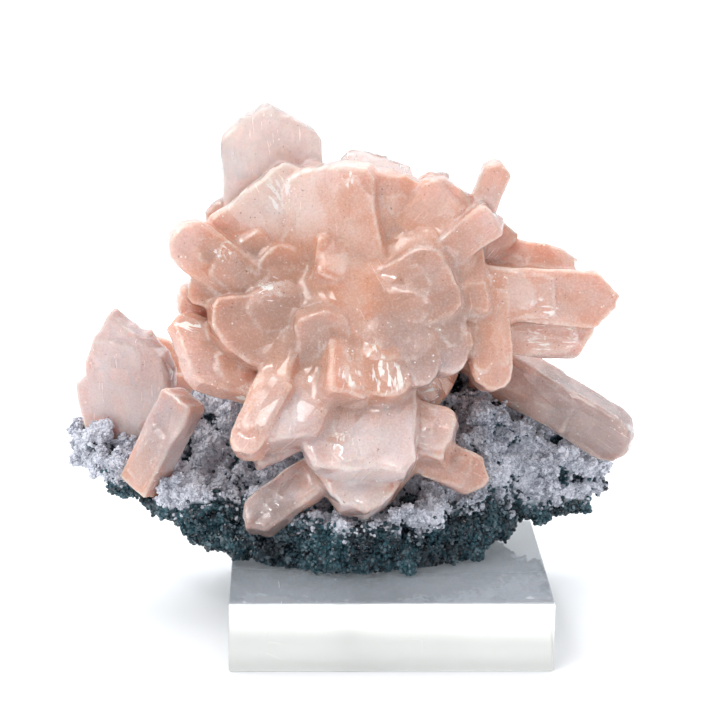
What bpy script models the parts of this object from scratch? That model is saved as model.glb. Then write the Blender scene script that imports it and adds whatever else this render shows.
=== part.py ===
"""A stilbite specimen: peach blades on a druse-coated crust, standing on a clear block.

Every driving dimension below is in millimetres and is turned into metres where
the shapes are made. +Z is up, -Y is the specimen's front, and the origin is the
centre of the block's underside.
"""
import math

import bmesh
import bpy
from mathutils import Matrix, Vector, noise
from mathutils.bvhtree import BVHTree

MM = 0.001
GAP = 0.3
WELD_DISTANCE = 0.000002
LEVEL_TOLERANCE = 1e-6
ABOVE_ALL = 300.0
GREATEST_SHELL_FACTOR = 2.0

# Clear block that the specimen stands on.
BLOCK_SIDE = 90.0
BLOCK_HEIGHT = 20.0
BLOCK_EDGE = 0.8

# Crust: points round its rim as (x, y, underside height, top height).
CRUST_RIM = [
    (-6, -26, 20.6, 38),
    (14, -18, 23.5, 41),
    (27, -11, 23.5, 43),
    (33, -2, 27.5, 44),
    (41, 6, 27.5, 43),
    (50, 6, 26.5, 42),
    (62, 12, 30.0, 42),
    (66, 20, 38.0, 46),
    (60, 34, 38.0, 49),
    (42, 45, 30.0, 48),
    (14, 51, 22.5, 46),
    (-20, 51, 22.0, 46),
    (-52, 46, 30.0, 49),
    (-78, 34, 41.0, 52),
    (-90, 20, 44.5, 53),
    (-92, 11, 42.0, 51),
    (-84, 2, 39.5, 47),
    (-71, -6, 33.0, 43),
    (-57, -11, 27.5, 40),
    (-43, -15, 23.0, 37),
    (-26, -21, 21.5, 37),
]
CRUST_SPINE = ((-58, 17), (36, 20))
CRUST_RIM_POINTS = 72
CRUST_SWELL_REACH = 0.35
CRUST_ROUGHNESS = 1.1
CRUST_GRAIN = 6.0

# Patch of the underside that lies on the block, as an ellipse that fades out.
SEAT_HEIGHT = 20.3
SEAT_CENTRE = (-6, 8)
SEAT_RADII = (32, 30)
SEAT_FADE = (0.85, 1.55)
SEAT_REACH = 0.2

# Swellings of the crust's top, as (x, y, height, reach along x, reach along y).
CRUST_SWELLS = [
    (-4, 20, 24, 38, 19),
    (-50, 24, 9, 18, 14),
    (28, 21, 16, 14, 12),
]

# Lumps of pale druse on the crust, as (x, y, radius, height above the crust).
DRUSE_LUMPS = [
    (-85, 11, 6.0, -1.0),
    (-79, 3, 5.0, -0.5),
    (-86, 20, 5.0, -1.5),
    (-63, -6, 5.5, 0.0),
    (-55, -4, 4.5, 0.5),
    (-49, -9, 5.5, 0.0),
    (-45, 2, 5.0, 1.0),
    (-24, -20, 4.5, 0.5),
    (3, -21, 4.5, 0.0),
    (13, -17, 4.5, 0.0),
    (25, 1, 6.5, 2.0),
    (29, -5, 4.5, 1.0),
    (32, 9, 6.0, 3.0),
    (40, 12, 6.5, 1.0),
    (45, 18, 6.0, 2.0),
    (50, 10, 6.5, 0.5),
    (59, 16, 6.5, 0.0),
    (55, 25, 6.0, 1.0),
    (-60, 34, 6.5, 1.0),
    (-38, 40, 6.0, 1.0),
    (-14, 44, 6.5, 0.0),
    (12, 43, 6.0, 0.5),
    (36, 36, 6.5, 1.0),
]
LUMP_GRAIN = 1.6
LUMP_ROUGHNESS = 0.45
LUMP_FLATNESS = 0.85

# Heart of the cluster, where all its blades have grown together.
HEART_CENTRE = (-8, 5, 82)
HEART_RADII = (25, 14, 24)

# Blade ends, from one shoulder over the tip to the other. Each point is (share
# of the half width, distance back from the tip in half widths). With the broad
# face towards you and the tip up, the list runs from the right to the left.
GABLE_END = [(1, 0.78), (0.9, 0.6), (0.2, 0.04), (-0.2, 0.0), (-0.9, 0.6), (-1, 0.8)]
BLUNT_END = [(1, 0.3), (0.8, 0.0), (-0.8, 0.0), (-1, 0.3)]
PILLOW_END = [(1, 0.5), (0.85, 0.15), (0.5, 0), (-0.5, 0), (-0.85, 0.15), (-1, 0.5)]
SLANT_RIGHT_END = [(1, 1.0), (0.85, 0.75), (-0.55, 0.0), (-0.9, 0.12), (-1, 0.4)]
SLANT_LEFT_END = [(1, 0.4), (0.9, 0.12), (0.55, 0.0), (-0.85, 0.75), (-1, 1.0)]
ROUND_STEPS = 6
ROUND_END = [
    (math.cos(math.pi * step / ROUND_STEPS), 1 - math.sin(math.pi * step / ROUND_STEPS))
    for step in range(ROUND_STEPS + 1)
]
CROWN_LEFT_END = [(1, 0.76), (0.9, 0.53), (0, 0), (-0.15, 0), (-0.65, 0.3), (-0.95, 0.6), (-1, 0.9)]
CROWN_MIDDLE_END = [(1, 0.3), (0.85, 0.07), (0.1, 0.0), (-0.5, 0.05), (-0.85, 0.3), (-1, 0.6)]
CROWN_RIGHT_END = [(1, 0.6), (0.85, 0.2), (0.5, 0.04), (-0.6, 0.0), (-1, 0.2)]
CROWN_CLEAR_END = [(1, 0.85), (0.85, 0.42), (-0.5, 0.0), (-0.65, 0.04), (-1, 0.4)]
FAR_RIGHT_END = [(1, 0.9), (0.85, 0.45), (0.3, 0.0), (-0.6, 0.1), (-1, 0.5)]
RIGHT_UPPER_END = [(1, 0.6), (0.6, 0.2), (0.05, 0.0), (-0.45, 0.68), (-0.9, 2.2), (-1, 3.0)]
STEPPED_END = [(1, 1.2), (0.9, 1.02), (-0.05, 0.95), (-0.2, 0.3), (-0.4, 0.0), (-0.75, 0.02),
               (-0.95, 0.3), (-1, 0.6)]
LEFT_WING_END = [(1, 0.5), (0.85, 0.12), (0.55, 0.0), (-0.8, 0.75), (-1, 1.05)]
LEFT_MIDDLE_END = [(1, 0.25), (0.85, 0.08), (0.3, 0.0), (-0.3, 0.25), (-0.75, 0.75), (-1, 1.3)]
SHIELD_END = [(1, 0.4), (0.8, 0.1), (0.2, 0.0), (-0.3, 0.1), (-0.8, 0.0), (-1, 0.3)]
TIP_END = [(1, 1.0), (0.85, 0.6), (0.3, 0.03), (-0.2, 0.0), (-0.55, 0.28), (-1, 1.0)]
LEFT_LARGE_END = [(1, 1.3), (0.86, 0.88), (-0.37, 0.0), (-0.56, 0.35), (-0.77, 0.63), (-1, 1.25),
                  (-1, 1.6), (-1.27, 1.82), (-1.2, 2.5)]
LONG_RIGHT_END = [(1, 0.9), (0.75, 0.25), (0.35, 0.0), (-0.3, 0.05), (-0.8, 0.5), (-1, 0.95)]

# Blades, as (name, root, tip, way the broad face looks, width, thickness,
# share of the width at the root, end).
CROWN = [
    ("crown_left", (-32, 11, 88), (-34, 8, 150.2), (0.05, -1, 0.05), 29, 7, 0.9, CROWN_LEFT_END),
    ("crown_foot", (-25, 9, 95), (-50, 9, 122.5), (-0.1, -1, 0.1), 16, 5, 0.9, ROUND_END),
    ("crown_slab", (-18, 3, 96), (-42.3, 0.5, 126.2), (-0.1, -1, 0.25), 36, 5, 0.8, BLUNT_END),
    ("crown_middle", (-14, 3, 84), (-17.5, 0.5, 135), (-0.2, -1, 0.3), 27, 9, 0.8, CROWN_MIDDLE_END),
    ("crown_right", (-6, 4, 88), (-0.5, 3, 132.5), (0.2, -1, 0.25), 23, 9, 0.75, CROWN_RIGHT_END),
    ("crown_clear", (-4, 17, 95), (-3.5, 22, 135.5), (0, -1, 0.15), 23, 4, 0.8, CROWN_CLEAR_END),
    ("crown_inner", (-14, 0, 115), (-18.5, -9, 101.5), (0.4, -1, 0.2), 10, 6, 0.6, GABLE_END),
    ("crown_chip", (7, 12, 108), (13.5, 12, 131.5), (0, -1, 0.1), 9, 3, 0.8, SLANT_LEFT_END),
    ("crown_orange", (-18, 1, 97), (13, -1, 116), (0.1, -0.8, 0.6), 14, 7, 0.8, BLUNT_END),
    ("far_right", (-6, 2, 97), (20.5, 1, 127.5), (0.1, -1, 0.3), 20, 8, 0.8, FAR_RIGHT_END),
    ("finger_blade", (16, 7, 90), (31.2, 5, 135), (0.1, -1, 0.1), 8.2, 7, 0.9, GABLE_END),
]
RIGHT_SIDE = [
    ("bright_blade", (3, 0, 99), (29.5, -3, 121), (0.2, -1, 0.1), 11, 8, 0.8, BLUNT_END),
    ("amber_blade", (10, 8, 92), (33.8, 6, 116.5), (0.2, -1, 0.2), 11, 4, 0.8, BLUNT_END),
    ("right_upper", (4, 9, 104), (54.2, 8, 106), (0, -1, 0.35), 11.5, 6, 0.9, RIGHT_UPPER_END),
    ("right_plate", (8, 0, 99), (65, 2, 94.5), (-0.1, -1, 0.25), 16.6, 8, 0.9, GABLE_END),
    ("right_lower", (8, 4, 87), (60.8, 4, 84.5), (0, -1, 0.1), 15, 7, 0.9, SLANT_RIGHT_END),
    ("shield", (-11, -9, 91.5), (19, -5.5, 107), (-0.15, -1, 0.3), 18, 10, 0.9, BLUNT_END),
    ("stepped_plate", (3.5, -5, 99), (2.4, -18, 74.5), (0.05, -1, 0.3), 21.5, 8, 0.9, STEPPED_END),
    ("lobe_far", (12, -1, 108), (17, -13.5, 76.5), (0.2, -1, 0.2), 11.5, 8, 1.0, ROUND_END),
    ("lobe_right", (20, 2, 112), (22.8, -6, 91), (0.35, -1, 0.15), 11.5, 8, 1.0, BLUNT_END),
    ("lobe_small", (21, 0, 100), (22.8, -8, 83), (-0.2, -1, 0.1), 7, 7, 1.0, PILLOW_END),
    ("tongue", (28, 0, 98), (29.2, -10, 70.5), (0.1, -1, 0.15), 11.8, 8, 0.95, ROUND_END),
    ("long_right", (16, 24, 81), (71.2, 4, 51), (-0.1, -0.96, -0.26), 15, 9, 0.9, LONG_RIGHT_END),
]
LEFT_SIDE = [
    ("knob", (-26, -1, 89), (-61.2, -5, 116.3), (-0.1, -1, 0.3), 14.5, 8, 0.95, ROUND_END),
    ("left_orange", (-12, 0, 89), (-57, -3, 102), (0, -1, 0.35), 14, 8, 0.9, BLUNT_END),
    ("left_face", (-8, 3, 86), (-39, -2.5, 105), (-0.15, -1, 0.35), 22, 8, 0.9, PILLOW_END),
    ("left_small", (-25, 3, 90), (-60.4, -2, 96), (-0.3, -1, 0), 8, 6, 1.0, BLUNT_END),
    ("left_wing", (-16, -3, 69), (-63.2, -12, 85.5), (-0.1, -0.72, 0.68), 21, 7, 0.9, LEFT_WING_END),
    ("left_middle", (-18, -4, 90), (-50, -14, 86.5), (-0.2, -1, 0.3), 23, 8, 0.9, LEFT_MIDDLE_END),
    ("hanging_finger", (-29, -9, 97), (-41.2, -27, 57.4), (-0.35, -1, 0.25), 10, 8, 0.6, ROUND_END),
    ("pillow", (-19, -10, 78), (-20, -13.5, 96), (0.1, -1, 0.25), 14.8, 8, 1.0, PILLOW_END),
]
FRONT = [
    ("striped_block", (-12, -6, 90), (-13.3, -22, 71), (0.35, -0.9, 0.25), 13.5, 10, 1.0, BLUNT_END),
    ("brown_block", (-3, -5, 92), (-1.6, -20, 70.6), (0.05, -1, 0.1), 14, 10, 1.0, PILLOW_END),
    ("front_left_low", (-19, -9, 82), (-31, -27, 57.5), (-0.2, -1, 0.4), 18, 9, 1.0, SLANT_LEFT_END),
    ("front_shield", (-8, -9, 74), (-9, -29, 51), (0, -0.85, 0.55), 31, 9, 1.0, SHIELD_END),
    ("front_tip", (-6, -8, 66), (-9.5, -26, 39.2), (0, -1, 0.25), 30, 11, 1.0, TIP_END),
    ("front_right_lobe", (-2, -11, 64), (18.3, -17, 60.5), (0.15, -0.9, 0.4), 13, 9, 1.0, PILLOW_END),
    ("front_ledge", (-2, -13, 58), (16.5, -19, 55), (0.1, -0.8, 0.6), 7, 8, 1.0, BLUNT_END),
    ("grey_blade", (-18, -12, 62), (-39, -22, 55), (-0.2, -1, 0.4), 8.5, 5, 1.0, BLUNT_END),
    ("front_left_blade", (-14, -13, 52.5), (-40.8, -22, 34.3), (-0.1, -0.8, 0.6), 11.5, 8, 1.0, GABLE_END),
    ("front_right_blade", (0, -12, 58), (28, -16, 46), (0.1, -1, 0.3), 12, 6, 1.0, GABLE_END),
]
BACK = [
    ("back_left", (-14, 10, 85), (-50, 30, 104), (-0.5, 0.8, 0.3), 20, 8, 0.8, ROUND_END),
    ("back_left_low", (-14, 10, 78), (-44, 36, 72), (-0.3, 0.6, 0.7), 20, 8, 0.8, GABLE_END),
    ("back_top_left", (-16, 12, 90), (-30, 30, 130), (-0.3, 1, 0.2), 22, 8, 0.8, GABLE_END),
    ("back_top", (-6, 12, 88), (2, 34, 124), (0.2, 1, 0.5), 24, 8, 0.8, ROUND_END),
    ("back_middle", (-8, 10, 84), (-12, 40, 104), (-0.2, 0.6, -0.8), 22, 8, 0.8, GABLE_END),
    ("back_low", (-6, 12, 76), (-4, 40, 66), (0.1, 0.8, 0.5), 26, 10, 0.8, GABLE_END),
    ("back_right", (2, 10, 86), (38, 28, 106), (0.5, 0.8, 0.3), 20, 8, 0.8, ROUND_END),
    ("back_right_low", (2, 10, 78), (28, 34, 74), (0.3, 0.7, 0.6), 19, 8, 0.8, GABLE_END),
    ("back_fill_right", (-2, 10, 88), (22, 20, 119), (0.3, 1, 0.2), 18, 7, 0.8, GABLE_END),
    ("back_fill_left", (-18, 8, 84), (-54, 12, 90), (-0.3, 0.9, 0.2), 18, 8, 0.8, BLUNT_END),
]
CLUSTER = CROWN + RIGHT_SIDE + LEFT_SIDE + FRONT + BACK

# Blades that stand by themselves in the crust.
SINGLE_BLADES = [
    ("left_large_blade", (-74, 17, 48), (-75, 9, 89.8), (-0.35, -1, 0.05), 26.5, 7, 1.0, LEFT_LARGE_END),
    ("left_front_blade", (-71.5, -3, 41), (-57.6, -8, 69.5), (-0.62, -0.78, 0.05), 12, 8.5, 0.9, BLUNT_END),
    ("back_left_blade", (-62, 28, 50), (-74, 38, 76), (-0.3, 1, 0.2), 18, 7, 0.9, GABLE_END),
    ("back_right_blade", (36, 34, 45), (45, 45, 66), (0.3, 1, 0.2), 17, 7, 0.9, GABLE_END),
]
BLADE_BEVEL = 1.0
BEVEL_SHARE = 0.2

STILBITE_PEACH = (0.80, 0.52, 0.42, 1)
STILBITE_PALE = (0.82, 0.66, 0.62, 1)
CRUST_TEAL = (0.05, 0.10, 0.12, 1)
CLEAR = (0.95, 0.96, 0.95, 1)


def clear_scene():
    for obj in list(bpy.data.objects):
        bpy.data.objects.remove(obj)


def make_material(name, colour, roughness, transmission=0.0, ior=1.5):
    material = bpy.data.materials.new(name)
    material.use_nodes = True
    shader = material.node_tree.nodes["Principled BSDF"]
    shader.inputs["Base Color"].default_value = colour
    shader.inputs["Roughness"].default_value = roughness
    shader.inputs["Metallic"].default_value = 0.0
    shader.inputs["Transmission Weight"].default_value = transmission
    shader.inputs["IOR"].default_value = ior
    material.diffuse_color = colour
    return material


def make_object(name, bm, material=None):
    """Turn a bmesh in millimetres into an object in metres."""
    bmesh.ops.scale(bm, vec=(MM, MM, MM), verts=bm.verts)
    mesh = bpy.data.meshes.new(name)
    bm.to_mesh(mesh)
    bm.free()
    obj = bpy.data.objects.new(name, mesh)
    bpy.context.scene.collection.objects.link(obj)
    if material:
        mesh.materials.append(material)
    return obj


def blade_outline(length, width, root_share, end):
    """Points round a blade's broad face, with the root at 0 and the tip at length."""
    half = width / 2
    points = [(-half * root_share, 0.0), (half * root_share, 0.0)]
    points += [(share * half, length - back * half) for share, back in end]
    return points


def blade_bmesh(root, tip, facing, width, thickness, root_share, end, grown=0.0):
    """A flat crystal with a bevelled rim, or its pocket when grown by the gap all round."""
    root, tip = Vector(root), Vector(tip)
    along = (tip - root).normalized()
    root, tip = root - along * grown, tip + along * grown
    width, thickness = width + 2 * grown, thickness + 2 * grown
    normal = Vector(facing)
    normal = (normal - along * normal.dot(along)).normalized()
    across = along.cross(normal)
    bm = bmesh.new()
    outline = blade_outline((tip - root).length, width, root_share, end)
    face = bm.faces.new([bm.verts.new((x, y, -thickness / 2)) for x, y in outline])
    raised = bmesh.ops.extrude_face_region(bm, geom=[face])
    lifted = [item for item in raised["geom"] if isinstance(item, bmesh.types.BMVert)]
    bmesh.ops.translate(bm, vec=(0, 0, thickness), verts=lifted)
    rim = [edge for edge in bm.edges if abs(edge.verts[0].co.z - edge.verts[1].co.z) < LEVEL_TOLERANCE]
    bmesh.ops.bevel(bm, geom=rim, offset=min(BLADE_BEVEL, thickness * BEVEL_SHARE), segments=1,
                    profile=0.5, affect="EDGES", clamp_overlap=True, material=-1)
    bmesh.ops.recalc_face_normals(bm, faces=bm.faces)
    frame = Matrix((across, along, normal)).transposed().to_4x4()
    bmesh.ops.transform(bm, matrix=Matrix.Translation(root) @ frame, verts=bm.verts)
    return bm


def smooth_step(start, stop, value):
    """Ease from 0 at start to 1 at stop, which may lie either way."""
    share = min(max((value - start) / (stop - start), 0.0), 1.0)
    return share * share * (3 - 2 * share)


def rim_point(turn):
    """The crust's rim at a turn from 0 to 1, on a smooth closed curve."""
    count = len(CRUST_RIM)
    place = turn * count
    index = int(place)
    t = place - index
    near = [Vector(CRUST_RIM[(index + step) % count]) for step in (-1, 0, 1, 2)]
    before, start, stop, after = near
    return (start * 2 + (stop - before) * t + (before * 2 - start * 5 + stop * 4 - after) * t ** 2
            + (start * 3 - before - stop * 3 + after) * t ** 3) / 2


def spine_point(x, y):
    """The nearest point of the crust's spine, towards which its rings close in."""
    start, stop = Vector(CRUST_SPINE[0]), Vector(CRUST_SPINE[1])
    run = stop - start
    share = (Vector((x, y)) - start).dot(run) / run.length_squared
    return start + run * min(max(share, 0.0), 1.0)


def swell_height(x, y):
    height = 0.0
    for at_x, at_y, rise, reach_x, reach_y in CRUST_SWELLS:
        height += rise * math.exp(-((x - at_x) / reach_x) ** 2 - ((y - at_y) / reach_y) ** 2)
    return height


def crust_place(turn, inward, level):
    """A point of the crust's skin: inward 0 at the rim, level 1 on top and 0 beneath."""
    x, y, low, high = rim_point(turn)
    middle = spine_point(x, y)
    x += (middle.x - x) * inward
    y += (middle.y - y) * inward
    top = high + swell_height(x, y) * smooth_step(0.0, CRUST_SWELL_REACH, inward)
    from_seat = math.hypot((x - SEAT_CENTRE[0]) / SEAT_RADII[0], (y - SEAT_CENTRE[1]) / SEAT_RADII[1])
    seated = smooth_step(SEAT_FADE[1], SEAT_FADE[0], from_seat) * smooth_step(0.0, SEAT_REACH, inward)
    under = low + (SEAT_HEIGHT - low) * seated
    return Vector((x, y, under + (top - under) * level))


# Rings of the crust's skin from its top to its underside, as (share of the way
# in from the rim, level between the underside at 0 and the top at 1).
CRUST_RINGS = [
    (1.0, 1.0), (0.84, 1.0), (0.66, 1.0), (0.48, 1.0), (0.31, 1.0), (0.15, 1.0), (0.04, 0.93),
    (0.0, 0.66), (0.0, 0.33), (0.03, 0.07), (0.14, 0.0), (0.32, 0.0), (0.6, 0.0), (1.0, 0.0),
]


def crust_bmesh():
    """The crust's body, rough all over but for the seat it stands on."""
    bm = bmesh.new()
    steps = len(CRUST_RINGS) - 1
    bmesh.ops.create_uvsphere(bm, u_segments=CRUST_RIM_POINTS, v_segments=steps, radius=1.0)
    for vert in bm.verts:
        turn = math.atan2(vert.co.y, vert.co.x) / math.tau % 1.0
        ring = round(math.acos(min(max(vert.co.z, -1.0), 1.0)) / math.pi * steps)
        vert.co = crust_place(turn, *CRUST_RINGS[ring])
    bmesh.ops.triangulate(bm, faces=bm.faces)
    bm.normal_update()
    moves = []
    for vert in bm.verts:
        rough = noise.fractal(vert.co / CRUST_GRAIN, 1.0, 2.0, 3)
        moves.append(vert.normal * rough * CRUST_ROUGHNESS)
    for vert, move in zip(bm.verts, moves):
        vert.co += move
        vert.co.z = max(vert.co.z, SEAT_HEIGHT)
    return bm


def lump_bmesh(place, radius, seed):
    """One knobbly lump of druse."""
    bm = bmesh.new()
    bmesh.ops.create_icosphere(bm, subdivisions=2, radius=1.0)
    for vert in bm.verts:
        rough = noise.noise(vert.co * LUMP_GRAIN + Vector((seed, 0, 0)))
        vert.co *= radius * (1 + LUMP_ROUGHNESS * rough)
        vert.co.z *= LUMP_FLATNESS
    bmesh.ops.translate(bm, vec=place, verts=bm.verts)
    return bm


def joined_bmesh(parts):
    """Several closed shapes in one bmesh, still overlapping."""
    whole = bmesh.new()
    for part in parts:
        mesh = bpy.data.meshes.new("part")
        part.to_mesh(mesh)
        part.free()
        whole.from_mesh(mesh)
        bpy.data.meshes.remove(mesh)
    return whole


def make_cutter(name, bm):
    obj = make_object(name, bm)
    obj.hide_render = True
    obj.display_type = "WIRE"
    return obj


def add_boolean(obj, other, operation):
    modifier = obj.modifiers.new(operation.lower(), "BOOLEAN")
    modifier.object = other
    modifier.operation = operation
    modifier.solver = "EXACT"
    modifier.use_self = True
    modifier.use_hole_tolerant = False


def islands(bm):
    """The bmesh's closed skins as lists of faces; skins that only touch stay apart."""
    left = set(bm.faces)
    found = []
    while left:
        island = [left.pop()]
        for face in island:
            for edge in face.edges:
                beyond = left.intersection(edge.link_faces) if len(edge.link_faces) == 2 else ()
                left.difference_update(beyond)
                island.extend(beyond)
        found.append(island)
    return found


def skin_size(faces):
    points = [vert.co for face in faces for vert in face.verts]
    low = Vector([min(point[axis] for point in points) for axis in range(3)])
    high = Vector([max(point[axis] for point in points) for axis in range(3)])
    return (high - low).length


def apply_and_keep_outer_skin(obj):
    """Apply the Booleans, then fill pockets sealed inside and drop chips cut loose."""
    graph = bpy.context.evaluated_depsgraph_get()
    mesh = bpy.data.meshes.new_from_object(obj.evaluated_get(graph))
    bm = bmesh.new()
    bm.from_mesh(mesh)
    bmesh.ops.remove_doubles(bm, verts=bm.verts, dist=WELD_DISTANCE)
    bmesh.ops.dissolve_degenerate(bm, edges=bm.edges, dist=WELD_DISTANCE)
    skins = sorted(islands(bm), key=skin_size)
    spare = [face for skin in skins[:-1] for face in skin]
    bmesh.ops.delete(bm, geom=spare, context="FACES")
    stray = [vert for vert in bm.verts if not vert.link_faces]
    bmesh.ops.delete(bm, geom=stray, context="VERTS")
    bmesh.ops.triangulate(bm, faces=bm.faces)
    bm.to_mesh(mesh)
    bm.free()
    obj.modifiers.clear()
    obj.data = mesh


def make_block():
    bm = bmesh.new()
    bmesh.ops.create_cube(bm, size=1.0)
    bmesh.ops.scale(bm, vec=(BLOCK_SIDE, BLOCK_SIDE, BLOCK_HEIGHT), verts=bm.verts)
    bmesh.ops.translate(bm, vec=(0, 0, BLOCK_HEIGHT / 2), verts=bm.verts)
    bmesh.ops.bevel(bm, geom=list(bm.edges), offset=BLOCK_EDGE, segments=1, profile=0.5,
                    affect="EDGES", clamp_overlap=True, material=-1)
    return make_object("acrylic_block", bm, make_material("acrylic", CLEAR, 0.03, 1.0, 1.49))


def make_crust(material):
    body = crust_bmesh()
    tree = BVHTree.FromBMesh(body)
    lumps = []
    for number, (x, y, radius, rise) in enumerate(DRUSE_LUMPS):
        top = tree.ray_cast(Vector((x, y, ABOVE_ALL)), Vector((0, 0, -1)))[0]
        lumps.append(lump_bmesh(top + Vector((0, 0, rise)), radius, number))
    crust = make_object("crust", body, material)
    add_boolean(crust, make_cutter("crust_lumps", joined_bmesh(lumps)), "UNION")
    apply_and_keep_outer_skin(crust)
    return crust


def grown_crust(crust):
    """The finished crust, grown outwards by the gap that crystals keep to it."""
    bm = bmesh.new()
    bm.from_mesh(crust.data)
    bmesh.ops.scale(bm, vec=(1 / MM, 1 / MM, 1 / MM), verts=bm.verts)
    bm.normal_update()
    moves = [vert.normal * GAP * min(vert.calc_shell_factor(), GREATEST_SHELL_FACTOR) for vert in bm.verts]
    for vert, move in zip(bm.verts, moves):
        vert.co += move
    return bm


def make_heart():
    bm = bmesh.new()
    bmesh.ops.create_icosphere(bm, subdivisions=2, radius=1.0)
    bmesh.ops.scale(bm, vec=HEART_RADII, verts=bm.verts)
    bmesh.ops.translate(bm, vec=HEART_CENTRE, verts=bm.verts)
    return bm


def make_cluster(material, crust_cutter):
    blades = joined_bmesh([blade_bmesh(*blade[1:]) for blade in CLUSTER])
    cluster = make_object("stilbite_cluster", make_heart(), material)
    add_boolean(cluster, make_cutter("cluster_blades", blades), "UNION")
    add_boolean(cluster, crust_cutter, "DIFFERENCE")
    apply_and_keep_outer_skin(cluster)
    return cluster


def make_single_blades(material, crust):
    """Stand each single blade in a pocket of the crust that keeps the gap to it."""
    pockets = []
    for name, *shape in SINGLE_BLADES:
        make_object(name, blade_bmesh(*shape), material)
        pockets.append(blade_bmesh(*shape, grown=GAP))
    add_boolean(crust, make_cutter("blade_pockets", joined_bmesh(pockets)), "DIFFERENCE")
    apply_and_keep_outer_skin(crust)


def main():
    clear_scene()
    peach = make_material("stilbite_peach", STILBITE_PEACH, 0.3)
    pale = make_material("stilbite_pale", STILBITE_PALE, 0.28)
    teal = make_material("crust_druse", CRUST_TEAL, 0.6)
    make_block()
    crust = make_crust(teal)
    make_cluster(peach, make_cutter("crust_skin", grown_crust(crust)))
    make_single_blades(pale, crust)


main()
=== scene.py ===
"""A stilbite specimen: its fine forms, finishes and studio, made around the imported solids.

The tables and the making functions below use millimetres, and finished_piece turns
a finished shape into metres. +Z is up and -Y is the specimen's front.
"""
import bisect
import itertools
import math
import random

import bmesh
import bpy
import numpy as np
from mathutils import Matrix, Vector, interpolate, noise
from mathutils.bvhtree import BVHTree


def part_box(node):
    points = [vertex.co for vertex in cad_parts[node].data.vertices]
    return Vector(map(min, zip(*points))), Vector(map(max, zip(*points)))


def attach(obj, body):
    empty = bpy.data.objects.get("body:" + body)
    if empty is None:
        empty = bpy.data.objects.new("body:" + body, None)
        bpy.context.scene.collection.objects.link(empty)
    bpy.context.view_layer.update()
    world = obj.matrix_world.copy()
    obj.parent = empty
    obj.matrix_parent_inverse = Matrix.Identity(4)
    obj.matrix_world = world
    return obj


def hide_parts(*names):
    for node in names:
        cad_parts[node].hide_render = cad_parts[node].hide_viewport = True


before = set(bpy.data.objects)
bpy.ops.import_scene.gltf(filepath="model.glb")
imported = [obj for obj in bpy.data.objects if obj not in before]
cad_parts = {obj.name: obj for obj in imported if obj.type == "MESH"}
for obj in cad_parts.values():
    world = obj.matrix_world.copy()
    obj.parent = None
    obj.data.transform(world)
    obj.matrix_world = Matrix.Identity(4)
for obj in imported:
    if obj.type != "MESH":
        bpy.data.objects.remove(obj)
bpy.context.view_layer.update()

bl_info = {
    "name": "Stilbite Specimen",
    "version": (1, 0, 0),
    "blender": (4, 5, 0),
    "location": "3D View > Sidebar > Specimen",
    "description": "Grows a stilbite cluster on its druse-coated crust and sets it in a studio",
    "category": "Object",
}

MM = 0.001
BODY = "root"

# Heart of the cluster, where all its blades have grown together.
HEART_CENTRE = (-8, 5, 82)
HEART_RADII = (30, 20, 30)

# Blade ends, from one shoulder over the tip to the other. Each point is (share
# of the half width, distance back from the tip in half widths). With the broad
# face towards you and the tip up, the list runs from the right to the left.
GABLE_END = [(1, 0.78), (0.9, 0.6), (0.2, 0.04), (-0.2, 0.0), (-0.9, 0.6), (-1, 0.8)]
BLUNT_END = [(1, 0.3), (0.8, 0.0), (-0.8, 0.0), (-1, 0.3)]
PILLOW_END = [(1, 0.5), (0.85, 0.15), (0.5, 0), (-0.5, 0), (-0.85, 0.15), (-1, 0.5)]
SLANT_RIGHT_END = [(1, 1.0), (0.85, 0.75), (-0.55, 0.0), (-0.9, 0.12), (-1, 0.4)]
SLANT_LEFT_END = [(1, 0.4), (0.9, 0.12), (0.55, 0.0), (-0.85, 0.75), (-1, 1.0)]
ROUND_STEPS = 6
ROUND_END = [
    (math.cos(math.pi * step / ROUND_STEPS), 1 - math.sin(math.pi * step / ROUND_STEPS))
    for step in range(ROUND_STEPS + 1)
]
CROWN_LEFT_END = [(1, 0.76), (0.9, 0.53), (0, 0), (-0.15, 0), (-0.65, 0.3), (-0.95, 0.6), (-1, 0.9)]
CROWN_MIDDLE_END = [(1, 0.3), (0.85, 0.07), (0.1, 0.0), (-0.5, 0.05), (-0.85, 0.3), (-1, 0.6)]
CROWN_RIGHT_END = [(1, 0.6), (0.85, 0.2), (0.5, 0.04), (-0.6, 0.0), (-1, 0.2)]
CROWN_CLEAR_END = [(1, 0.85), (0.85, 0.42), (-0.5, 0.0), (-0.65, 0.04), (-1, 0.4)]
FAR_RIGHT_END = [(1, 0.9), (0.85, 0.45), (0.3, 0.0), (-0.6, 0.1), (-1, 0.5)]
RIGHT_UPPER_END = [(1, 0.6), (0.6, 0.2), (0.05, 0.0), (-0.45, 0.68), (-0.9, 2.2), (-1, 3.0)]
STEPPED_END = [(1, 1.2), (0.9, 1.02), (-0.05, 0.95), (-0.2, 0.3), (-0.4, 0.0), (-0.75, 0.02),
               (-0.95, 0.3), (-1, 0.6)]
LEFT_WING_END = [(1, 0.5), (0.85, 0.12), (0.55, 0.0), (-0.8, 0.75), (-1, 1.05)]
LEFT_MIDDLE_END = [(1, 0.25), (0.85, 0.08), (0.3, 0.0), (-0.3, 0.25), (-0.75, 0.75), (-1, 1.3)]
SHIELD_END = [(1, 0.4), (0.8, 0.1), (0.2, 0.0), (-0.3, 0.1), (-0.8, 0.0), (-1, 0.3)]
TIP_END = [(1, 1.0), (0.85, 0.6), (0.3, 0.03), (-0.2, 0.0), (-0.55, 0.28), (-1, 1.0)]
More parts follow.
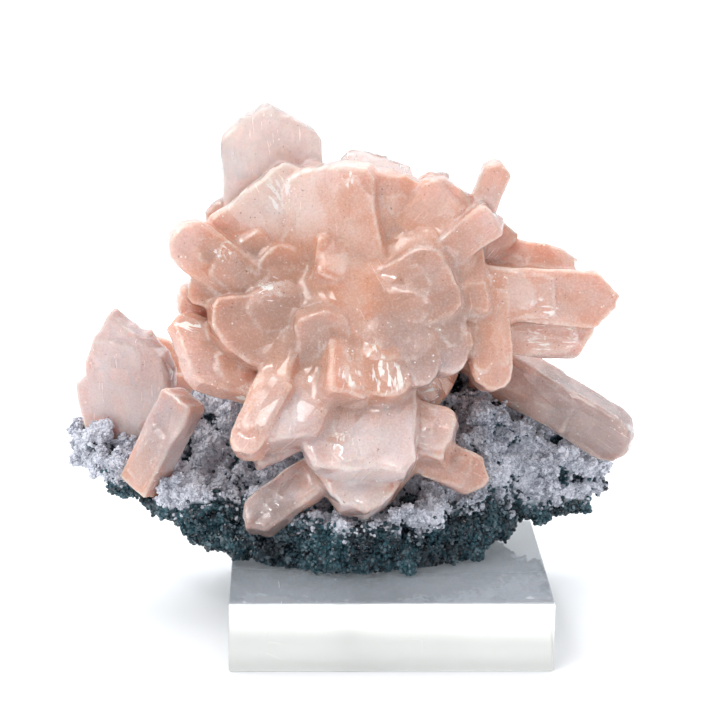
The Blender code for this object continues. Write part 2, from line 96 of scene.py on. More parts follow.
LEFT_LARGE_END = [(1, 1.3), (0.86, 0.88), (-0.37, 0.0), (-0.56, 0.35), (-0.77, 0.63), (-1, 1.25),
                  (-1, 1.6), (-1.27, 1.82), (-1.2, 2.5)]
LONG_RIGHT_END = [(1, 0.9), (0.75, 0.25), (0.35, 0.0), (-0.3, 0.05), (-0.8, 0.5), (-1, 0.95)]

# Blades, as (name, root, tip, way the broad face looks, width, thickness,
# share of the width at the root, end).
CROWN = [
    ("crown_left", (-32, 11, 88), (-34, 8, 150.2), (0.05, -1, 0.05), 29, 7, 0.9, CROWN_LEFT_END),
    ("crown_foot", (-25, 9, 95), (-50, 9, 122.5), (-0.1, -1, 0.1), 16, 5, 0.9, ROUND_END),
    ("crown_slab", (-18, 3, 96), (-42.3, 0.5, 126.2), (-0.1, -1, 0.25), 36, 5, 0.8, BLUNT_END),
    ("crown_middle", (-14, 3, 84), (-17.5, 0.5, 135), (-0.2, -1, 0.3), 27, 9, 0.8, CROWN_MIDDLE_END),
    ("crown_right", (-6, 4, 88), (-0.5, 3, 132.5), (0.2, -1, 0.25), 23, 9, 0.75, CROWN_RIGHT_END),
    ("crown_clear", (-4, 17, 95), (-3.5, 22, 135.5), (0, -1, 0.15), 23, 4, 0.8, CROWN_CLEAR_END),
    ("crown_inner", (-14, 5, 119), (-17.5, -8, 101.5), (0.2, -1, 0.3), 9.5, 7, 0.9, PILLOW_END),
    ("crown_chip", (7, 12, 108), (13.5, 12, 131.5), (0, -1, 0.1), 9, 3, 0.8, SLANT_LEFT_END),
    ("crown_orange", (-18, 1, 97), (13, -1, 116), (0.1, -0.8, 0.6), 14, 7, 0.8, BLUNT_END),
    ("far_right", (-6, 2, 97), (20.5, 1, 127.5), (0.1, -1, 0.3), 20, 8, 0.8, FAR_RIGHT_END),
    ("finger_blade", (16, 7, 90), (31.2, 5, 135), (0.1, -1, 0.1), 8.2, 7, 0.9, GABLE_END),
]
RIGHT_SIDE = [
    ("bright_blade", (3, 0, 99), (29.5, -3, 121), (0.2, -1, 0.1), 11, 8, 0.8, BLUNT_END),
    ("amber_blade", (10, 8, 92), (33.8, 6, 116.5), (0.2, -1, 0.2), 11, 4, 0.8, BLUNT_END),
    ("right_upper", (4, 9, 104), (54.2, 8, 106), (0, -1, 0.35), 11.5, 6, 0.9, RIGHT_UPPER_END),
    ("right_plate", (8, 0, 99), (65, 2, 94.5), (-0.1, -1, 0.25), 16.6, 8, 0.9, GABLE_END),
    ("right_lower", (8, 4, 87), (60.8, 4, 84.5), (0, -1, 0.1), 15, 7, 0.9, SLANT_RIGHT_END),
    ("shield", (-9, -6, 90), (18, -5.5, 104.5), (-0.15, -1, 0.3), 22, 10, 0.9, PILLOW_END),
    ("stepped_plate", (3.5, -5, 99), (2.4, -18, 74.5), (0.05, -1, 0.3), 21.5, 8, 0.9, STEPPED_END),
    ("lobe_far", (12, -1, 108), (17, -13.5, 76.5), (0.2, -1, 0.2), 11.5, 8, 1.0, ROUND_END),
    ("lobe_right", (20, 2, 112), (22.8, -6, 91), (0.35, -1, 0.15), 11.5, 8, 1.0, BLUNT_END),
    ("lobe_small", (21, 0, 100), (22.8, -8, 83), (-0.2, -1, 0.1), 7, 7, 1.0, PILLOW_END),
    ("tongue", (28, 0, 98), (29.2, -10, 70.5), (0.1, -1, 0.15), 11.8, 8, 0.95, ROUND_END),
    ("long_right", (16, 24, 81), (71.2, 4, 51), (-0.1, -0.96, -0.26), 15, 9, 0.9, LONG_RIGHT_END),
]
LEFT_SIDE = [
    ("knob", (-26, -1, 89), (-61.2, -5, 116.3), (-0.1, -1, 0.3), 14.5, 8, 0.95, ROUND_END),
    ("left_orange", (-12, 0, 89), (-57, -3, 102), (0, -1, 0.35), 14, 8, 0.9, BLUNT_END),
    ("left_face", (-8, 3, 86), (-39, -2.5, 105), (-0.15, -1, 0.35), 22, 8, 0.9, PILLOW_END),
    ("left_small", (-25, 3, 90), (-60.4, -2, 96), (-0.3, -1, 0), 8, 6, 1.0, BLUNT_END),
    ("left_wing", (-16, -3, 69), (-63.2, -12, 85.5), (-0.1, -0.72, 0.68), 21, 7, 0.9, LEFT_WING_END),
    ("left_middle", (-18, -4, 90), (-50, -14, 86.5), (-0.2, -1, 0.3), 23, 8, 0.9, LEFT_MIDDLE_END),
    ("hanging_finger", (-27, -9, 88), (-41.2, -28, 56.5), (-0.35, -1, 0.25), 10.5, 8, 0.8, ROUND_END),
    ("pillow", (-19, -10, 78), (-20, -13.5, 96), (0.1, -1, 0.25), 14.8, 8, 1.0, PILLOW_END),
]
FRONT = [
    ("striped_block", (-12, -6, 90), (-13.3, -22, 71), (0.35, -0.9, 0.25), 13.5, 10, 1.0, BLUNT_END),
    ("brown_block", (-3, -5, 92), (-1.6, -20, 70.6), (0.05, -1, 0.1), 14, 10, 1.0, PILLOW_END),
    ("front_left_low", (-19, -9, 82), (-31, -27, 57.5), (-0.2, -1, 0.4), 18, 9, 1.0, SLANT_LEFT_END),
    ("front_shield", (-8, -9, 74), (-9, -29, 51), (0, -0.85, 0.55), 31, 9, 1.0, SHIELD_END),
    ("front_tip", (-6, -8, 66), (-9.5, -26, 39.2), (0, -1, 0.25), 30, 11, 1.0, TIP_END),
    ("front_right_lobe", (-2, -11, 64), (18.3, -17, 60.5), (0.15, -0.9, 0.4), 13, 9, 1.0, PILLOW_END),
    ("front_ledge", (-2, -13, 58), (16.5, -19, 55), (0.1, -0.8, 0.6), 7, 8, 1.0, BLUNT_END),
    ("grey_blade", (-18, -12, 62), (-39, -22, 55), (-0.2, -1, 0.4), 8.5, 5, 1.0, BLUNT_END),
    ("front_left_blade", (-14, -13, 52.5), (-40.8, -22, 34.3), (-0.1, -0.8, 0.6), 11.5, 8, 1.0, GABLE_END),
    ("front_right_blade", (0, -12, 58), (28, -16, 46), (0.1, -1, 0.3), 12, 6, 1.0, GABLE_END),
]
BACK = [
    ("back_left", (-14, 10, 85), (-50, 30, 104), (-0.5, 0.8, 0.3), 20, 8, 0.8, ROUND_END),
    ("back_left_low", (-14, 10, 78), (-44, 36, 72), (-0.3, 0.6, 0.7), 20, 8, 0.8, GABLE_END),
    ("back_top_left", (-16, 12, 90), (-30, 30, 130), (-0.3, 1, 0.2), 22, 8, 0.8, GABLE_END),
    ("back_top", (-6, 12, 88), (2, 34, 124), (0.2, 1, 0.5), 24, 8, 0.8, ROUND_END),
    ("back_middle", (-8, 10, 84), (-12, 40, 104), (-0.2, 0.6, -0.8), 22, 8, 0.8, GABLE_END),
    ("back_low", (-6, 12, 76), (-4, 40, 66), (0.1, 0.8, 0.5), 26, 10, 0.8, GABLE_END),
    ("back_right", (2, 10, 86), (38, 28, 106), (0.5, 0.8, 0.3), 20, 8, 0.8, ROUND_END),
    ("back_right_low", (2, 10, 78), (28, 34, 74), (0.3, 0.7, 0.6), 19, 8, 0.8, GABLE_END),
    ("back_fill_right", (-2, 10, 88), (22, 20, 119), (0.3, 1, 0.2), 18, 7, 0.8, GABLE_END),
    ("back_fill_left", (-18, 8, 84), (-54, 12, 90), (-0.3, 0.9, 0.2), 18, 8, 0.8, BLUNT_END),
]
CLUSTER = CROWN + RIGHT_SIDE + LEFT_SIDE + FRONT + BACK

# Blades that stand by themselves in the crust.
SINGLE_BLADES = [
    ("left_large_blade", (-74, 17, 48), (-75, 9, 89.8), (-0.35, -1, 0.05), 26.5, 7, 1.0, LEFT_LARGE_END),
    ("left_front_blade", (-71.5, -3, 41), (-57.6, -8, 69.5), (-0.62, -0.78, 0.05), 12, 8.5, 0.9, BLUNT_END),
    ("back_left_blade", (-62, 28, 50), (-74, 38, 76), (-0.3, 1, 0.2), 18, 7, 0.9, GABLE_END),
    ("back_right_blade", (36, 34, 45), (45, 45, 66), (0.3, 1, 0.2), 17, 7, 0.9, GABLE_END),
]

# How each blade is tinted at its tip, as (orange warmth, lilac paleness, clearness).
PLAIN_TINT = (0.4, 0.35, 0.05)
TINTS = {
    "crown_left": (0.1, 0.75, 0.5),
    "crown_foot": (0.1, 0.6, 0.6),
    "crown_slab": (0.45, 0.45, 0.15),
    "crown_middle": (0.6, 0.3, 0.0),
    "crown_right": (0.6, 0.3, 0.0),
    "crown_clear": (0.0, 0.8, 1.0),
    "crown_inner": (0.45, 0.4, 0.0),
    "crown_chip": (0.3, 0.5, 0.4),
    "crown_orange": (0.9, 0.1, 0.0),
    "far_right": (0.5, 0.3, 0.1),
    "finger_blade": (0.5, 0.4, 0.3),
    "bright_blade": (0.3, 0.55, 0.1),
    "amber_blade": (0.8, 0.1, 0.4),
    "right_upper": (0.65, 0.2, 0.3),
    "right_plate": (0.4, 0.45, 0.1),
    "right_lower": (0.25, 0.6, 0.1),
    "shield": (0.25, 0.45, 0.0),
    "stepped_plate": (0.2, 0.5, 0.0),
    "lobe_far": (0.05, 0.85, 0.0),
    "lobe_small": (0.9, 0.0, 0.0),
    "long_right": (0.15, 0.65, 0.2),
    "left_orange": (0.9, 0.0, 0.0),
    "left_face": (0.9, 0.0, 0.0),
    "left_wing": (0.3, 0.5, 0.1),
    "left_middle": (0.25, 0.55, 0.0),
    "striped_block": (0.3, 0.4, 0.0),
    "brown_block": (0.7, 0.1, 0.0),
    "front_left_low": (0.25, 0.5, 0.0),
    "front_shield": (0.2, 0.65, 0.0),
    "grey_blade": (0.0, 0.95, 0.4),
    "front_left_blade": (0.1, 0.7, 0.3),
    "front_right_blade": (0.25, 0.5, 0.2),
    "glint": (0.0, 0.8, 0.0),
    "left_large_blade": (0.0, 0.95, 0.3),
    "left_front_blade": (0.25, 0.6, 0.1),
}

# Growth scales that rise out of a blade's broad faces towards its tip: how many a
# face, and their least and greatest shares of the blade's width and length.
SCALES_PER_FACE = 2
SCALE_WIDTHS = (0.45, 0.85)
SCALE_LENGTHS = (0.35, 0.7)
SCALE_THICKNESS = 3.0
SCALE_TILTS = (2.0, 6.0)
SCALE_RISE = (0.5, 1.3)
SCALE_ENDS = [
    [(0.9, 1.1), (0.3, 0.0), (-0.5, 0.15), (-0.95, 0.8)],
    [(1.0, 0.7), (0.5, 0.05), (-0.2, 0.3), (-0.9, 1.3)],
    [(0.85, 0.5), (0.75, 0.1), (-0.8, 0.0), (-1.0, 0.5)],
]
NARROWEST_SCALED = 8.0

# Small crystals that lie like shingles where the blades are grown together.
MELT_CENTRE = (-8.0, -4.0, 78.0)
MELT_RADII = (46.0, 44.0, 52.0)
BUD_LOWEST = 66.0
BUD_PARTING = 14.0

# The lot of small crystals all around, and the larger ones on the hidden side
# alone, as seed, how many, spacing, share of the length that stands out, and
# least and greatest lean, length, width and thickness.
BUDS_AROUND = (21, 17, 9.0, 0.3, (3.0, 7.0), (10.0, 18.0), (5.5, 11.0), (2.0, 2.6))
BUDS_BEHIND = (5, 22, 6.0, 0.5, (12.0, 38.0), (18.0, 30.0), (8.0, 14.0), (4.0, 6.0))

# Patches of painted glints on the cleavage faces, placed where the camera sees them, as (x, y, z, reach).
SPARKLES = [
    (-12.4, -22, 78.3, 3.4),
    (-1.0, -22, 78.0, 4.4),
    (-2.5, -22, 82.0, 2.6),
    (-4.6, -20, 86.7, 2.0),
    (12.3, -20, 72.0, 4.2),
    (42.9, -2, 90.6, 5.0),
    (43.1, -2, 83.6, 4.0),
    (51.0, -2, 85.0, 3.0),
    (-31.0, -6, 126.6, 5.0),
    (-11.4, -2, 130.2, 2.2),
    (-46.8, -5, 110.4, 2.6),
    (-40.7, -20, 72.6, 3.0),
    (-57.1, -10, 89.4, 3.4),
    (-34.0, -6, 99.5, 4.0),
    (-14.0, -22, 60.0, 3.0),
    (8.0, -22, 58.0, 3.0),
]
KEPT_SHARE = 0.62

# Patches that cross the blades, as (x, y, z, reach, more warmth, more paleness,
# more clearness, more light). Warmth, paleness and clearness are the crystal's own
# tint; the light column is painted light and shade, lighter on the crown and darker
# on the body and the lower ends.
STAINS = [
    (-36, -8, 98, 20, 0.6, -0.5, 0.0, -0.5),
    (-48, -4, 108, 12, 0.4, -0.3, 0.0, -0.05),
    (-22, -16, 90, 12, 0.2, -0.2, 0.0, -0.3),
    (-12, -12, 104, 14, 0.35, -0.2, 0.0, 0.1),
    (-25, -4, 116, 18, 0.35, -0.1, 0.0, 0.0),
    (12, -12, 98, 18, 0.3, -0.3, 0.0, -0.55),
    (-6, -20, 78, 12, 0.2, -0.1, 0.0, 0.1),
    (-58, -8, 84, 12, 0.1, 0.0, 0.0, 0.25),
    (10, -20, 84, 14, 0.0, 0.3, 0.0, -0.25),
    (4, -22, 70, 14, -0.15, 0.3, 0.0, -0.1),
    (-9, -30, 48, 14, -0.3, 0.5, 0.0, 0.45),
    (-47, 6, 134, 8, -0.1, 0.3, 0.5, 0.2),
    (-4, 22, 132, 15, -0.3, 0.4, 0.5, 0.7),
    (-34, 4, 140, 26, 0.0, 0.2, 0.1, 0.6),
    (-36, -24, 38, 12, -0.2, 0.4, 0.2, -0.9),
    (60, 0, 58, 22, -0.2, 0.5, 0.3, -0.95),
    (-65, -8, 57, 14, -0.15, 0.5, 0.1, -0.25),
    (50, -2, 96, 20, 0.1, 0.0, 0.0, 0.2),
    (-22, -30, 62, 18, -0.15, 0.35, 0.0, -0.1),
    (2, -40, 50, 22, -0.1, 0.4, 0.0, 0.0),
    (4, -40, 33, 12, 0.5, -0.3, 0.0, 0.1),
    (-28, 0, 122, 12, 0.1, 0.2, 0.0, 0.2),
    (30, -10, 108, 16, 0.25, -0.1, 0.1, 0.1),
    (20, 10, 126, 18, 0.05, 0.2, 0.3, 0.3),
    (-76, 5, 68, 22, -0.2, 0.5, 0.2, 0.3),
]

# Photo's camera, worked out from the block's edges.
PHOTO_PIXELS = 720
FOCAL_PIXELS = 2586.9
SENSOR_WIDTH = 36.0
CAMERA_PLACE = (-26.89, -718.51, 254.63)
CAMERA_YAW = math.radians(1.49)
CAMERA_PITCH = math.radians(13.828)
CAMERA_ROLL = math.radians(0.421)


class BladeSettings(bpy.types.PropertyGroup):
    """Sizes and colours of the stilbite blades."""

    voxel: bpy.props.FloatProperty(
        name="Voxel", description="Mesh size of the crystals' skin",
        default=0.00068, min=0.0003, max=0.005, precision=5, unit="LENGTH")
    melting: bpy.props.IntProperty(
        name="Melting", description="How often the hollows between the crystals are filled",
        default=20, min=0, max=500)
    cut_across: bpy.props.FloatProperty(
        name="Cut across", description="Distance between the cuts across a blade's width",
        default=0.0025, min=0.0004, max=0.01, precision=5, unit="LENGTH")
    cut_along: bpy.props.FloatProperty(
        name="Cut along", description="Distance between the cuts along a blade",
        default=0.0050, min=0.0004, max=0.02, precision=5, unit="LENGTH")
    edge_round: bpy.props.FloatProperty(
        name="Edge round", description="Width of the rounding along a blade's edges",
        default=0.0010, min=0.0001, max=0.003, precision=5, unit="LENGTH")
    ridge_height: bpy.props.FloatProperty(
        name="Ridge height", description="Height of the lengthwise growth ridges",
        default=0.00006, min=0.0, max=0.002, precision=5, unit="LENGTH")
    end_wear: bpy.props.FloatProperty(
        name="End wear", description="Depth of the uneven steps along a blade's end",
        default=0.0011, min=0.0, max=0.005, precision=5, unit="LENGTH")
    peach: bpy.props.FloatVectorProperty(
        name="Peach", description="Colour of most of the stilbite",
        default=(0.70, 0.405, 0.31, 1.0), size=4, subtype="COLOR", min=0.0, max=1.0)
    # Orange is the crystal's own warmth in the heart, and painted shade in the crevices.
    orange: bpy.props.FloatVectorProperty(
        name="Orange", description="Warmer colour in the heart and the crevices",
        default=(0.71, 0.335, 0.205, 1.0), size=4, subtype="COLOR", min=0.0, max=1.0)
    # Lilac is the paler blades' own colour, made greyer so that it also paints the shade on the lower front.
    lilac: bpy.props.FloatVectorProperty(
        name="Lilac", description="Pale pink-grey colour of the paler blades",
        default=(0.65, 0.51, 0.50, 1.0), size=4, subtype="COLOR", min=0.0, max=1.0)
    # Frost is also the colour of the painted edge highlights, the painted glints and the lit side of the
    # painted light channel.
    frost: bpy.props.FloatVectorProperty(
        name="Frost", description="White of cleavage flecks and bruised edges",
        default=(0.93, 0.85, 0.81, 1.0), size=4, subtype="COLOR", min=0.0, max=1.0)
    shade: bpy.props.FloatVectorProperty(
        name="Shade", description="Greyer brown-pink of the darker faces",
        default=(0.36, 0.25, 0.215, 1.0), size=4, subtype="COLOR", min=0.0, max=1.0)
    speck: bpy.props.FloatVectorProperty(
        name="Speck", description="Brown of the fine specks",
        default=(0.11, 0.05, 0.03, 1.0), size=4, subtype="COLOR", min=0.0, max=1.0)


class CrustSettings(bpy.types.PropertyGroup):
    """Sizes and colours of the crust and its druse."""

    voxel: bpy.props.FloatProperty(
        name="Voxel", description="Mesh size of the crust's body",
        default=0.0011, min=0.0005, max=0.005, precision=5, unit="LENGTH")
    knob_height: bpy.props.FloatProperty(
        name="Knob height", description="Height of the knobs on the crust's body",
        default=0.0036, min=0.0, max=0.006, precision=5, unit="LENGTH")
    dark_grain: bpy.props.FloatProperty(
        name="Dark grain", description="Radius of the dark druse grains",
        default=0.00080, min=0.0002, max=0.003, precision=5, unit="LENGTH")
    pale_grain: bpy.props.FloatProperty(
        name="Pale grain", description="Radius of the pale druse grains",
        default=0.00058, min=0.0002, max=0.003, precision=5, unit="LENGTH")
    # Night is also the painted shade in the crust's and the druse's crevices.
    night: bpy.props.FloatVectorProperty(
        name="Night", description="Darkest colour of the crust",
        default=(0.006, 0.012, 0.020, 1.0), size=4, subtype="COLOR", min=0.0, max=1.0)
    teal: bpy.props.FloatVectorProperty(
        name="Teal", description="Blue-green colour of the lower druse",
        default=(0.030, 0.098, 0.125, 1.0), size=4, subtype="COLOR", min=0.0, max=1.0)
    slate: bpy.props.FloatVectorProperty(
        name="Slate", description="Grey between the dark and the pale druse",
        default=(0.33, 0.345, 0.405, 1.0), size=4, subtype="COLOR", min=0.0, max=1.0)
    frost: bpy.props.FloatVectorProperty(
        name="Frost", description="Pale lavender-grey of the upper druse",
        default=(0.72, 0.73, 0.80, 1.0), size=4, subtype="COLOR", min=0.0, max=1.0)


class BlockSettings(bpy.types.PropertyGroup):
    """Sizes and finish of the clear block."""

    edge_round: bpy.props.FloatProperty(
        name="Edge round", description="Radius of the polished edges",
        default=0.0006, min=0.0001, max=0.003, precision=5, unit="LENGTH")
    refraction: bpy.props.FloatProperty(
        name="Refraction", description="Index of refraction of the clear plastic",
        default=1.49, min=1.0, max=2.0)
    rubbed: bpy.props.FloatProperty(
        name="Rubbed", description="Roughness of the underside, dulled by standing on it",
        default=0.29, min=0.0, max=1.0)
    dust: bpy.props.FloatProperty(
        name="Dust", description="How much of the top face a thin haze of dust dulls",
        default=0.18, min=0.0, max=1.0)


class StudioSettings(bpy.types.PropertyGroup):
    """Lights, floor and camera."""

    front_sky: bpy.props.FloatProperty(
        name="Front sky", description="Strength of the even light from the front",
        default=0.50, min=0.0, max=10.0)
    back_sky: bpy.props.FloatProperty(
        name="Back sky", description="Strength of the even light from behind",
        default=1.15, min=0.0, max=10.0)
    top: bpy.props.FloatProperty(
        name="Top", description="Strength of the broad light from overhead",
        default=2.1, min=0.0, max=20.0)
    key: bpy.props.FloatProperty(
        name="Key", description="Strength of the smaller light from the front and the left",
        default=0.9, min=0.0, max=20.0)
    spark: bpy.props.FloatProperty(
        name="Spark", description="Strength of the small light that makes the facets glint",
        default=0.3, min=0.0, max=20.0)
    floor: bpy.props.FloatVectorProperty(
        name="Floor", description="Colour of the floor",
        default=(0.93, 0.935, 0.945, 1.0), size=4, subtype="COLOR", min=0.0, max=1.0)


# Shader nodes

def add_node(tree, kind, inputs=None, **settings):
    """Add a node; an input is given by name or number, as a value or another node's output."""
    made = tree.nodes.new(kind)
    for name, value in settings.items():
        setattr(made, name, value)
    for name, value in (inputs or {}).items():
        if isinstance(value, bpy.types.NodeSocket):
            tree.links.new(value, made.inputs[name])
        else:
            made.inputs[name].default_value = value
    return made


def mix_colours(tree, factor, first, second, blend="MIX"):
    """The colour output of a mix from first to second as factor goes from 0 to 1."""
    made = add_node(tree, "ShaderNodeMix", {0: factor, 6: first, 7: second},
                    data_type="RGBA", blend_type=blend)
    return made.outputs[2]


def remap(tree, value, low, high, out_low=0.0, out_high=1.0):
    made = add_node(tree, "ShaderNodeMapRange", {"Value": value, "From Min": low, "From Max": high,
                                                 "To Min": out_low, "To Max": out_high})
    return made.outputs["Result"]


def calculate(tree, operation, first, second):
    return add_node(tree, "ShaderNodeMath", {0: first, 1: second}, operation=operation).outputs[0]


def noise_value(tree, place, scale, detail=3.0, roughness=0.5):
    made = add_node(tree, "ShaderNodeTexNoise", {"Vector": place, "Scale": scale, "Detail": detail,
                                                 "Roughness": roughness})
    return made.outputs["Fac"]


def noise_colour(tree, place, scale):
    """A small random shift, as a vector."""
    made = add_node(tree, "ShaderNodeTexNoise", {"Vector": place, "Scale": scale, "Detail": 2.0})
    return add_node(tree, "ShaderNodeVectorMath", {0: made.outputs["Color"], 3: 0.002},
                    operation="SCALE").outputs[0]


def stretched(tree, place, scale):
    made = add_node(tree, "ShaderNodeMapping", {"Vector": place, "Scale": scale})
    return made.outputs["Vector"]


def new_material(name):
    """A material, its node tree, its Principled shader and its object coordinates."""
    material = bpy.data.materials.new(name)
    material.use_nodes = True
    tree = material.node_tree
    coordinates = tree.nodes.new("ShaderNodeTexCoord")
    return material, tree, tree.nodes["Principled BSDF"], coordinates.outputs["Object"]


def stilbite_material(name, settings):
    """Waxy, translucent peach crystal with growth streaks, frost flecks and fine specks, and with painted
    shade in its crevices, painted light and shade on its faces, and painted edge highlights and glints.
    """
    material, tree, shader, place = new_material(name)
    along = add_node(tree, "ShaderNodeAttribute", attribute_name="grown").outputs["Vector"]
    painted = add_node(tree, "ShaderNodeAttribute", attribute_name="tint")
    tint = add_node(tree, "ShaderNodeSeparateColor", {0: painted.outputs["Color"]})
    crevice = add_node(tree, "ShaderNodeAttribute", attribute_name="crevice").outputs["Fac"]
    edge = add_node(tree, "ShaderNodeAttribute", attribute_name="edge").outputs["Fac"]

    cloud = noise_value(tree, place, 55.0, 4.0, 0.55)
    fine_cloud = noise_value(tree, place, 240.0, 4.0, 0.6)
    streaks = noise_value(tree, stretched(tree, along, (1.0, 0.09, 1.0)), 900.0, 4.0, 0.6)
    paleness = calculate(tree, "ADD", tint.outputs[1], remap(tree, cloud, 0.35, 0.65, -0.35, 0.35))
    colour = mix_colours(tree, remap(tree, paleness, 0.1, 1.0), settings.peach, settings.lilac)
    # Painted shade: the crevices turn a deeper orange, added to the blades' own warmth.
    warmth = calculate(tree, "ADD", calculate(tree, "MULTIPLY", tint.outputs[0], 0.55),
                       calculate(tree, "MULTIPLY", crevice, 0.75))
    warmth = calculate(tree, "ADD", warmth, remap(tree, fine_cloud, 0.3, 0.7, -0.18, 0.18))
    colour = mix_colours(tree, remap(tree, warmth, 0.05, 1.0), colour, settings.orange)
    colour = mix_colours(tree, remap(tree, streaks, 0.58, 0.75, 0.0, 0.04), colour, settings.frost)

    veils = add_node(tree, "ShaderNodeTexVoronoi",
                     {"Vector": stretched(tree, along, (1.0, 0.3, 1.0)), "Scale": 260.0})
    veil = add_node(tree, "ShaderNodeSeparateColor", {0: veils.outputs["Color"]}).outputs[0]
    # Painted light and shade: the tint's fourth channel darkens faces towards the shade colour and lightens
    # them towards frost white.
    shade = calculate(tree, "ADD", painted.outputs["Alpha"], remap(tree, cloud, 0.3, 0.7, -0.15, 0.15))
    shade = calculate(tree, "ADD", shade, remap(tree, veil, 0.0, 1.0, -0.08, 0.08))
    colour = mix_colours(tree, remap(tree, shade, 0.5, 0.0, 0.0, 0.55), colour, settings.shade)
    colour = mix_colours(tree, remap(tree, shade, 0.5, 1.0, 0.0, 0.5), colour, settings.frost)
    # Painted highlights along the rounded edges, lighter in patches.
    edge_highlight = calculate(tree, "MULTIPLY", edge, remap(tree, fine_cloud, 0.42, 0.62, 0.02, 0.34))
    colour = mix_colours(tree, edge_highlight, colour, settings.frost)

    flecks = noise_value(tree, stretched(tree, along, (1.0, 0.35, 1.0)), 1300.0, 2.0, 0.7)
    patches = noise_value(tree, place, 85.0, 2.0, 0.5)
    # White flecks of the crystal's own, and painted glints laid in streaks over the sparkling patches.
    flecks_and_painted_glints = calculate(tree, "MULTIPLY", remap(tree, flecks, 0.68, 0.74), remap(tree, patches, 0.54, 0.66))
    zone = add_node(tree, "ShaderNodeAttribute", attribute_name="sparkle").outputs["Fac"]
    laths = noise_value(tree, stretched(tree, along, (1.0, 0.22, 1.0)), 620.0, 2.0, 0.6)
    flecks_and_painted_glints = calculate(tree, "MAXIMUM", flecks_and_painted_glints, calculate(
        tree, "MULTIPLY", remap(tree, laths, 0.53, 0.57), remap(tree, zone, 0.35, 0.6)))
    colour = mix_colours(tree, flecks_and_painted_glints, colour, settings.frost)

    sugar = noise_value(tree, place, 1600.0, 3.0, 0.7)
    colour = mix_colours(tree, remap(tree, sugar, 0.5, 0.75, 0.0, 0.3), colour, settings.frost)
    colour = mix_colours(tree, remap(tree, sugar, 0.5, 0.25, 0.0, 0.3), colour, settings.shade)
    # Painted glints: tiny bright dots scattered in patches.
    spark = add_node(tree, "ShaderNodeTexVoronoi", {"Vector": place, "Scale": 1100.0})
    bright = add_node(tree, "ShaderNodeSeparateColor", {0: spark.outputs["Color"]}).outputs[1]
    sparkle = calculate(tree, "MULTIPLY", remap(tree, spark.outputs["Distance"], 0.38, 0.26),
                        remap(tree, bright, 0.93, 0.95))
    sparkle = calculate(tree, "MULTIPLY", sparkle, remap(tree, patches, 0.45, 0.62, 0.0, 1.0))
    colour = mix_colours(tree, sparkle, colour, settings.frost)
    bent = add_node(tree, "ShaderNodeVectorMath", {0: place, 1: noise_colour(tree, place, 500.0)},
                    operation="ADD").outputs[0]
    dots = add_node(tree, "ShaderNodeTexVoronoi", {"Vector": bent, "Scale": 760.0, "Randomness": 1.0})
    rare = add_node(tree, "ShaderNodeSeparateColor", {0: dots.outputs["Color"]})
    speck = calculate(tree, "MULTIPLY", remap(tree, dots.outputs["Distance"], 0.20, 0.09),
                      remap(tree, rare.outputs[0], 0.76, 0.84))
    colour = mix_colours(tree, calculate(tree, "MULTIPLY", speck, 0.6), colour, settings.speck)
    tree.links.new(colour, shader.inputs["Base Color"])

    clear = remap(tree, tint.outputs[2], 0.1, 1.0, 0.15, 0.85)
    tree.links.new(clear, shader.inputs["Transmission Weight"])
    tree.links.new(remap(tree, streaks, 0.3, 0.7, 0.22, 0.28), shader.inputs["Roughness"])
    shader.inputs["IOR"].default_value = 1.5
    shader.inputs["Subsurface Weight"].default_value = 1.0
    shader.inputs["Subsurface Radius"].default_value = (1.0, 0.55, 0.42)
    shader.inputs["Subsurface Scale"].default_value = 0.0075
    shader.inputs["Coat Weight"].default_value = 0.7
    shader.inputs["Coat Roughness"].default_value = 0.06

    plain = add_node(tree, "ShaderNodeNewGeometry").outputs["Normal"]
    shift = add_node(tree, "ShaderNodeVectorMath", {0: veils.outputs["Color"], 1: (0.5, 0.5, 0.5)},
                     operation="SUBTRACT").outputs[0]
    shift = add_node(tree, "ShaderNodeVectorMath", {0: shift, 3: 0.36}, operation="SCALE").outputs[0]
    tilted = add_node(tree, "ShaderNodeVectorMath", {0: plain, 1: shift}, operation="ADD").outputs[0]
    tilted = add_node(tree, "ShaderNodeVectorMath", {0: tilted}, operation="NORMALIZE").outputs[0]
    ridges = add_node(tree, "ShaderNodeBump", {"Height": streaks, "Strength": 0.06, "Distance": 0.0004,
                                              "Normal": tilted})
    pits = add_node(tree, "ShaderNodeBump", {"Height": noise_value(tree, place, 650.0, 5.0, 0.7),
                                            "Strength": 0.2, "Distance": 0.0005,
                                            "Normal": ridges.outputs["Normal"]})
    tree.links.new(pits.outputs["Normal"], shader.inputs["Normal"])
    tree.links.new(ridges.outputs["Normal"], shader.inputs["Coat Normal"])
    return material


